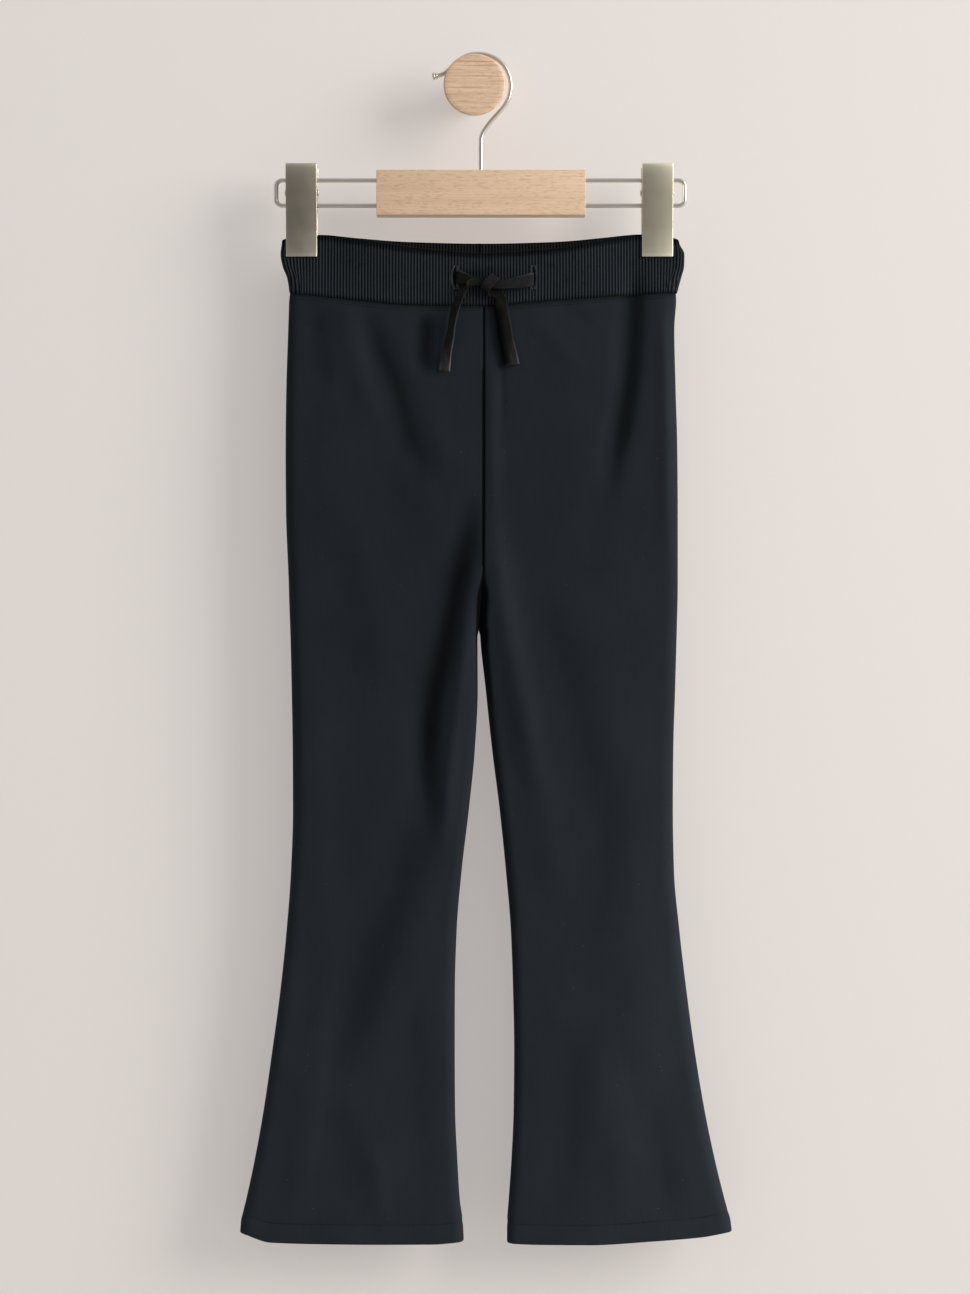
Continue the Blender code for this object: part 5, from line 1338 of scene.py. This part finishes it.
def makeEar(earX, out):
    # a flat ear folded back from the plate's side to the pin, cut clear of the rods
    earTop = wireCut["rodTop"] - wireCut["radius"] - seamGap
    earLow = wireCut["rodLow"] + wireCut["radius"] + seamGap
    corner, reach, clear, plate = (clipCut[key] for key in ("earCorner", "earReach", "rodClear", "plate"))
    high, low = clipCut["top"] - corner, clipCut["bend"] + corner
    outline = (
        (plateDistance(high) + plate / 2, high), (clear + corner, high), (clear, earTop + 2 * corner),
        (clear, earTop), (reach + corner, earTop), (reach, earTop - corner), (reach, earLow + corner),
        (reach + corner, earLow), (clear, earLow), (clear, low), (plateDistance(low) + plate / 2, low))
    ear = bmesh.new()
    verts = [ear.verts.new(Vector((earX - plate / 2, hangY + out * away, z)) * mm) for away, z in outline]
    grown = bmesh.ops.extrude_face_region(ear, geom=[ear.faces.new(verts)])
    moved = [item for item in grown["geom"] if isinstance(item, bmesh.types.BMVert)]
    bmesh.ops.translate(ear, vec=(plate * mm, 0.0, 0.0), verts=moved)
    bmesh.ops.recalc_face_normals(ear, faces=ear.faces)
    roundEdges(ear, [e for e in ear.edges if abs(e.verts[0].co.x - e.verts[1].co.x) < 1e-7],
               clipParts["earEdge"], 2)
    return ear


def makeClipHalf(side, face):
    middleX, half, plate = clipCut["x"][side], clipCut["half"], clipCut["plate"]
    piece = finishPiece(f"clip_{side}_{face}_plate", makePlate(middleX, facing[face]), clipPlate)
    earEdge = half if face == "front" else half - plate - seamGap
    for way in (-1.0, 1.0):
        combine(piece, makeEar(middleX + way * (earEdge - plate / 2), facing[face]), "UNION")
    bore = bmesh.new()
    addBore(bore, (middleX, hangY, clipCut["pivotZ"]), clipCut["pinRadius"] + clipParts["boreEase"], half * 3)
    combine(piece, bore, "DIFFERENCE")
    smooth(piece, 35.0)
    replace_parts(piece, f"clip_{side}_{face}")


def makePinAndSpring(side):
    x, pivotZ, shaft = clipCut["x"][side], clipCut["pivotZ"], clipCut["half"] + seamGap
    head = [(r, shaft + h) for r, h in clipParts["head"]]
    bm = bmesh.new()
    spinProfile(bm, head + [(r, -h) for r, h in reversed(head)], 32, (x, hangY, pivotZ), (1.0, 0.0, 0.0))
    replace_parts(finishPiece(f"clip_{side}_pivot", bm, nickel, 40.0), f"clip_{side}_pin")
    # the spring: wound wire round the pin, with a leg up to each plate
    half = clipCut["half"] - 2 * clipCut["plate"] - 3 * seamGap - clipParts["wire"]
    legTop = clipCut["top"] - clipParts["legBelow"]
    spread = plateDistance(legTop) - 1.6 * clipParts["wire"]
    steps = clipParts["turns"] * clipParts["turnSteps"]
    line = []
    for k in range(int(steps) + 1):
        angle = 2 * math.pi * k / clipParts["turnSteps"]
        line.append((x + blend(-half, half, k / steps), hangY - clipParts["coil"] * math.cos(angle),
                     pivotZ + clipParts["coil"] * math.sin(angle)))
    first, last = np.array(line[0]), np.array(line[-1])
    start, end = (np.array((x + way * half, hangY + way * spread, legTop)) for way in (-1.0, 1.0))
    count = clipParts["legSteps"]
    line = ([blend(start, first, t / count) for t in range(count)] + line
            + [blend(last, end, t / count) for t in range(1, count + 1)])
    bm = roundWire(line, clipParts["wire"], 2)
    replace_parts(finishPiece(f"clip_{side}_coil", bm, nickel, 50.0), f"clip_{side}_spring")


for side in toMiddle:
    for face in facing:
        makeClipHalf(side, face)
    makePinAndSpring(side)
print("clips made")


# Wall, floor and light

roomSet = {"wallY": 0.6, "wallHalf": 3.0, "floorZ": -1010.0, "floorHalf": 5.0, "wallColour": (0.44, 0.415, 0.398),
           "wallGlow": 0.36, "glowColour": (1.0, 0.94, 0.905), "floorColour": (0.50, 0.475, 0.45)}


def flatStage(name, material, half, tilt, place):
    bm = bmesh.new()
    bmesh.ops.create_grid(bm, x_segments=1, y_segments=1, size=half)
    bmesh.ops.rotate(bm, matrix=Matrix.Rotation(tilt, 3, "X"), verts=bm.verts)
    bmesh.ops.translate(bm, vec=place, verts=bm.verts)
    stage = inScene(name, bm, material)
    return stage


def makeRoom():
    # a little light of its own keeps the shadows on the wall as faint as in a bright room
    paint = roomSet["wallColour"]
    material, tree, shader = newMaterial("wall_paint", paint, 0.85, **{
        "Emission Color": (*roomSet["glowColour"], 1.0), "Emission Strength": roomSet["wallGlow"]})
    uneven = mixed(times(noise(objectPlace(tree), 2.0, scale=2.2), 0.25), paint, [c * 0.97 for c in paint])
    tree.links.new(uneven, shader.inputs["Base Color"])
    # seen from behind the wall is clear, so that the back of the garment shows
    back = put(tree, "NewGeometry").outputs["Backfacing"]
    clear = put(tree, "BsdfTransparent").outputs[0]
    pick = put(tree, "MixShader", {0: back, 1: shader.outputs[0], 2: clear})
    tree.links.new(pick.outputs[0], tree.nodes["Material Output"].inputs["Surface"])
    floorZ = roomSet["floorZ"] * mm
    wall = flatStage("wall", material, roomSet["wallHalf"], math.pi / 2,
                     (0.0, roomSet["wallY"] * mm, roomSet["wallHalf"] + floorZ))
    wall.visible_shadow = False
    material, tree, shader = newMaterial("floor_paint", roomSet["floorColour"], 0.7)
    flatStage("floor", material, roomSet["floorHalf"], 0.0, (0.0, 0.0, floorZ))


makeRoom()
lampColumns = ("name", "place", "size", "power", "colour")
lamps = (
    ("window", (2.7, -1.6, 0.70), (1.6, 2.0), 94.0, (1.0, 0.985, 0.965)),
    ("fill", (-2.4, -2.0, 0.9), (2.4, 2.4), 9.0, (0.98, 0.98, 1.0)),
    ("behind", (0.3, 1.9, 0.4), (2.0, 2.0), 14.0, (1.0, 1.0, 1.0)),
)
for row in lamps:
    lamp = dict(zip(lampColumns, row))
    data = bpy.data.lights.new(lamp["name"], "AREA")
    data.shape = "RECTANGLE"
    data.size, data.size_y = lamp["size"]
    data.energy = lamp["power"]
    data.color = lamp["colour"]
    light = bpy.data.objects.new(lamp["name"], data)
    light.location = lamp["place"]
    light.rotation_euler = (Vector((0.0, 0.0, -0.4)) - light.location).to_track_quat("-Z", "Y").to_euler()
    scene.collection.objects.link(light)

world = bpy.data.worlds.new("room")
world.use_nodes = True
tree = world.node_tree
way = put(tree, "TexCoord").outputs["Generated"]
lit = put(tree, "VectorMath", {0: way, 1: (0.62, -0.05, 0.55)}, operation="DOT_PRODUCT").outputs["Value"]
sky = ramp(times(lit, 0.5, 0.5), ((0.15, (0.06, 0.06, 0.063)), (0.48, (0.15, 0.15, 0.153)),
                                  (0.60, (0.30, 0.30, 0.305)), (0.85, (0.72, 0.72, 0.73))))
tree.links.new(sky, tree.nodes["Background"].inputs["Color"])
tree.nodes["Background"].inputs["Strength"].default_value = 1.0
scene.world = world
scene.view_settings.view_transform = "Standard"
print("stage and light set")
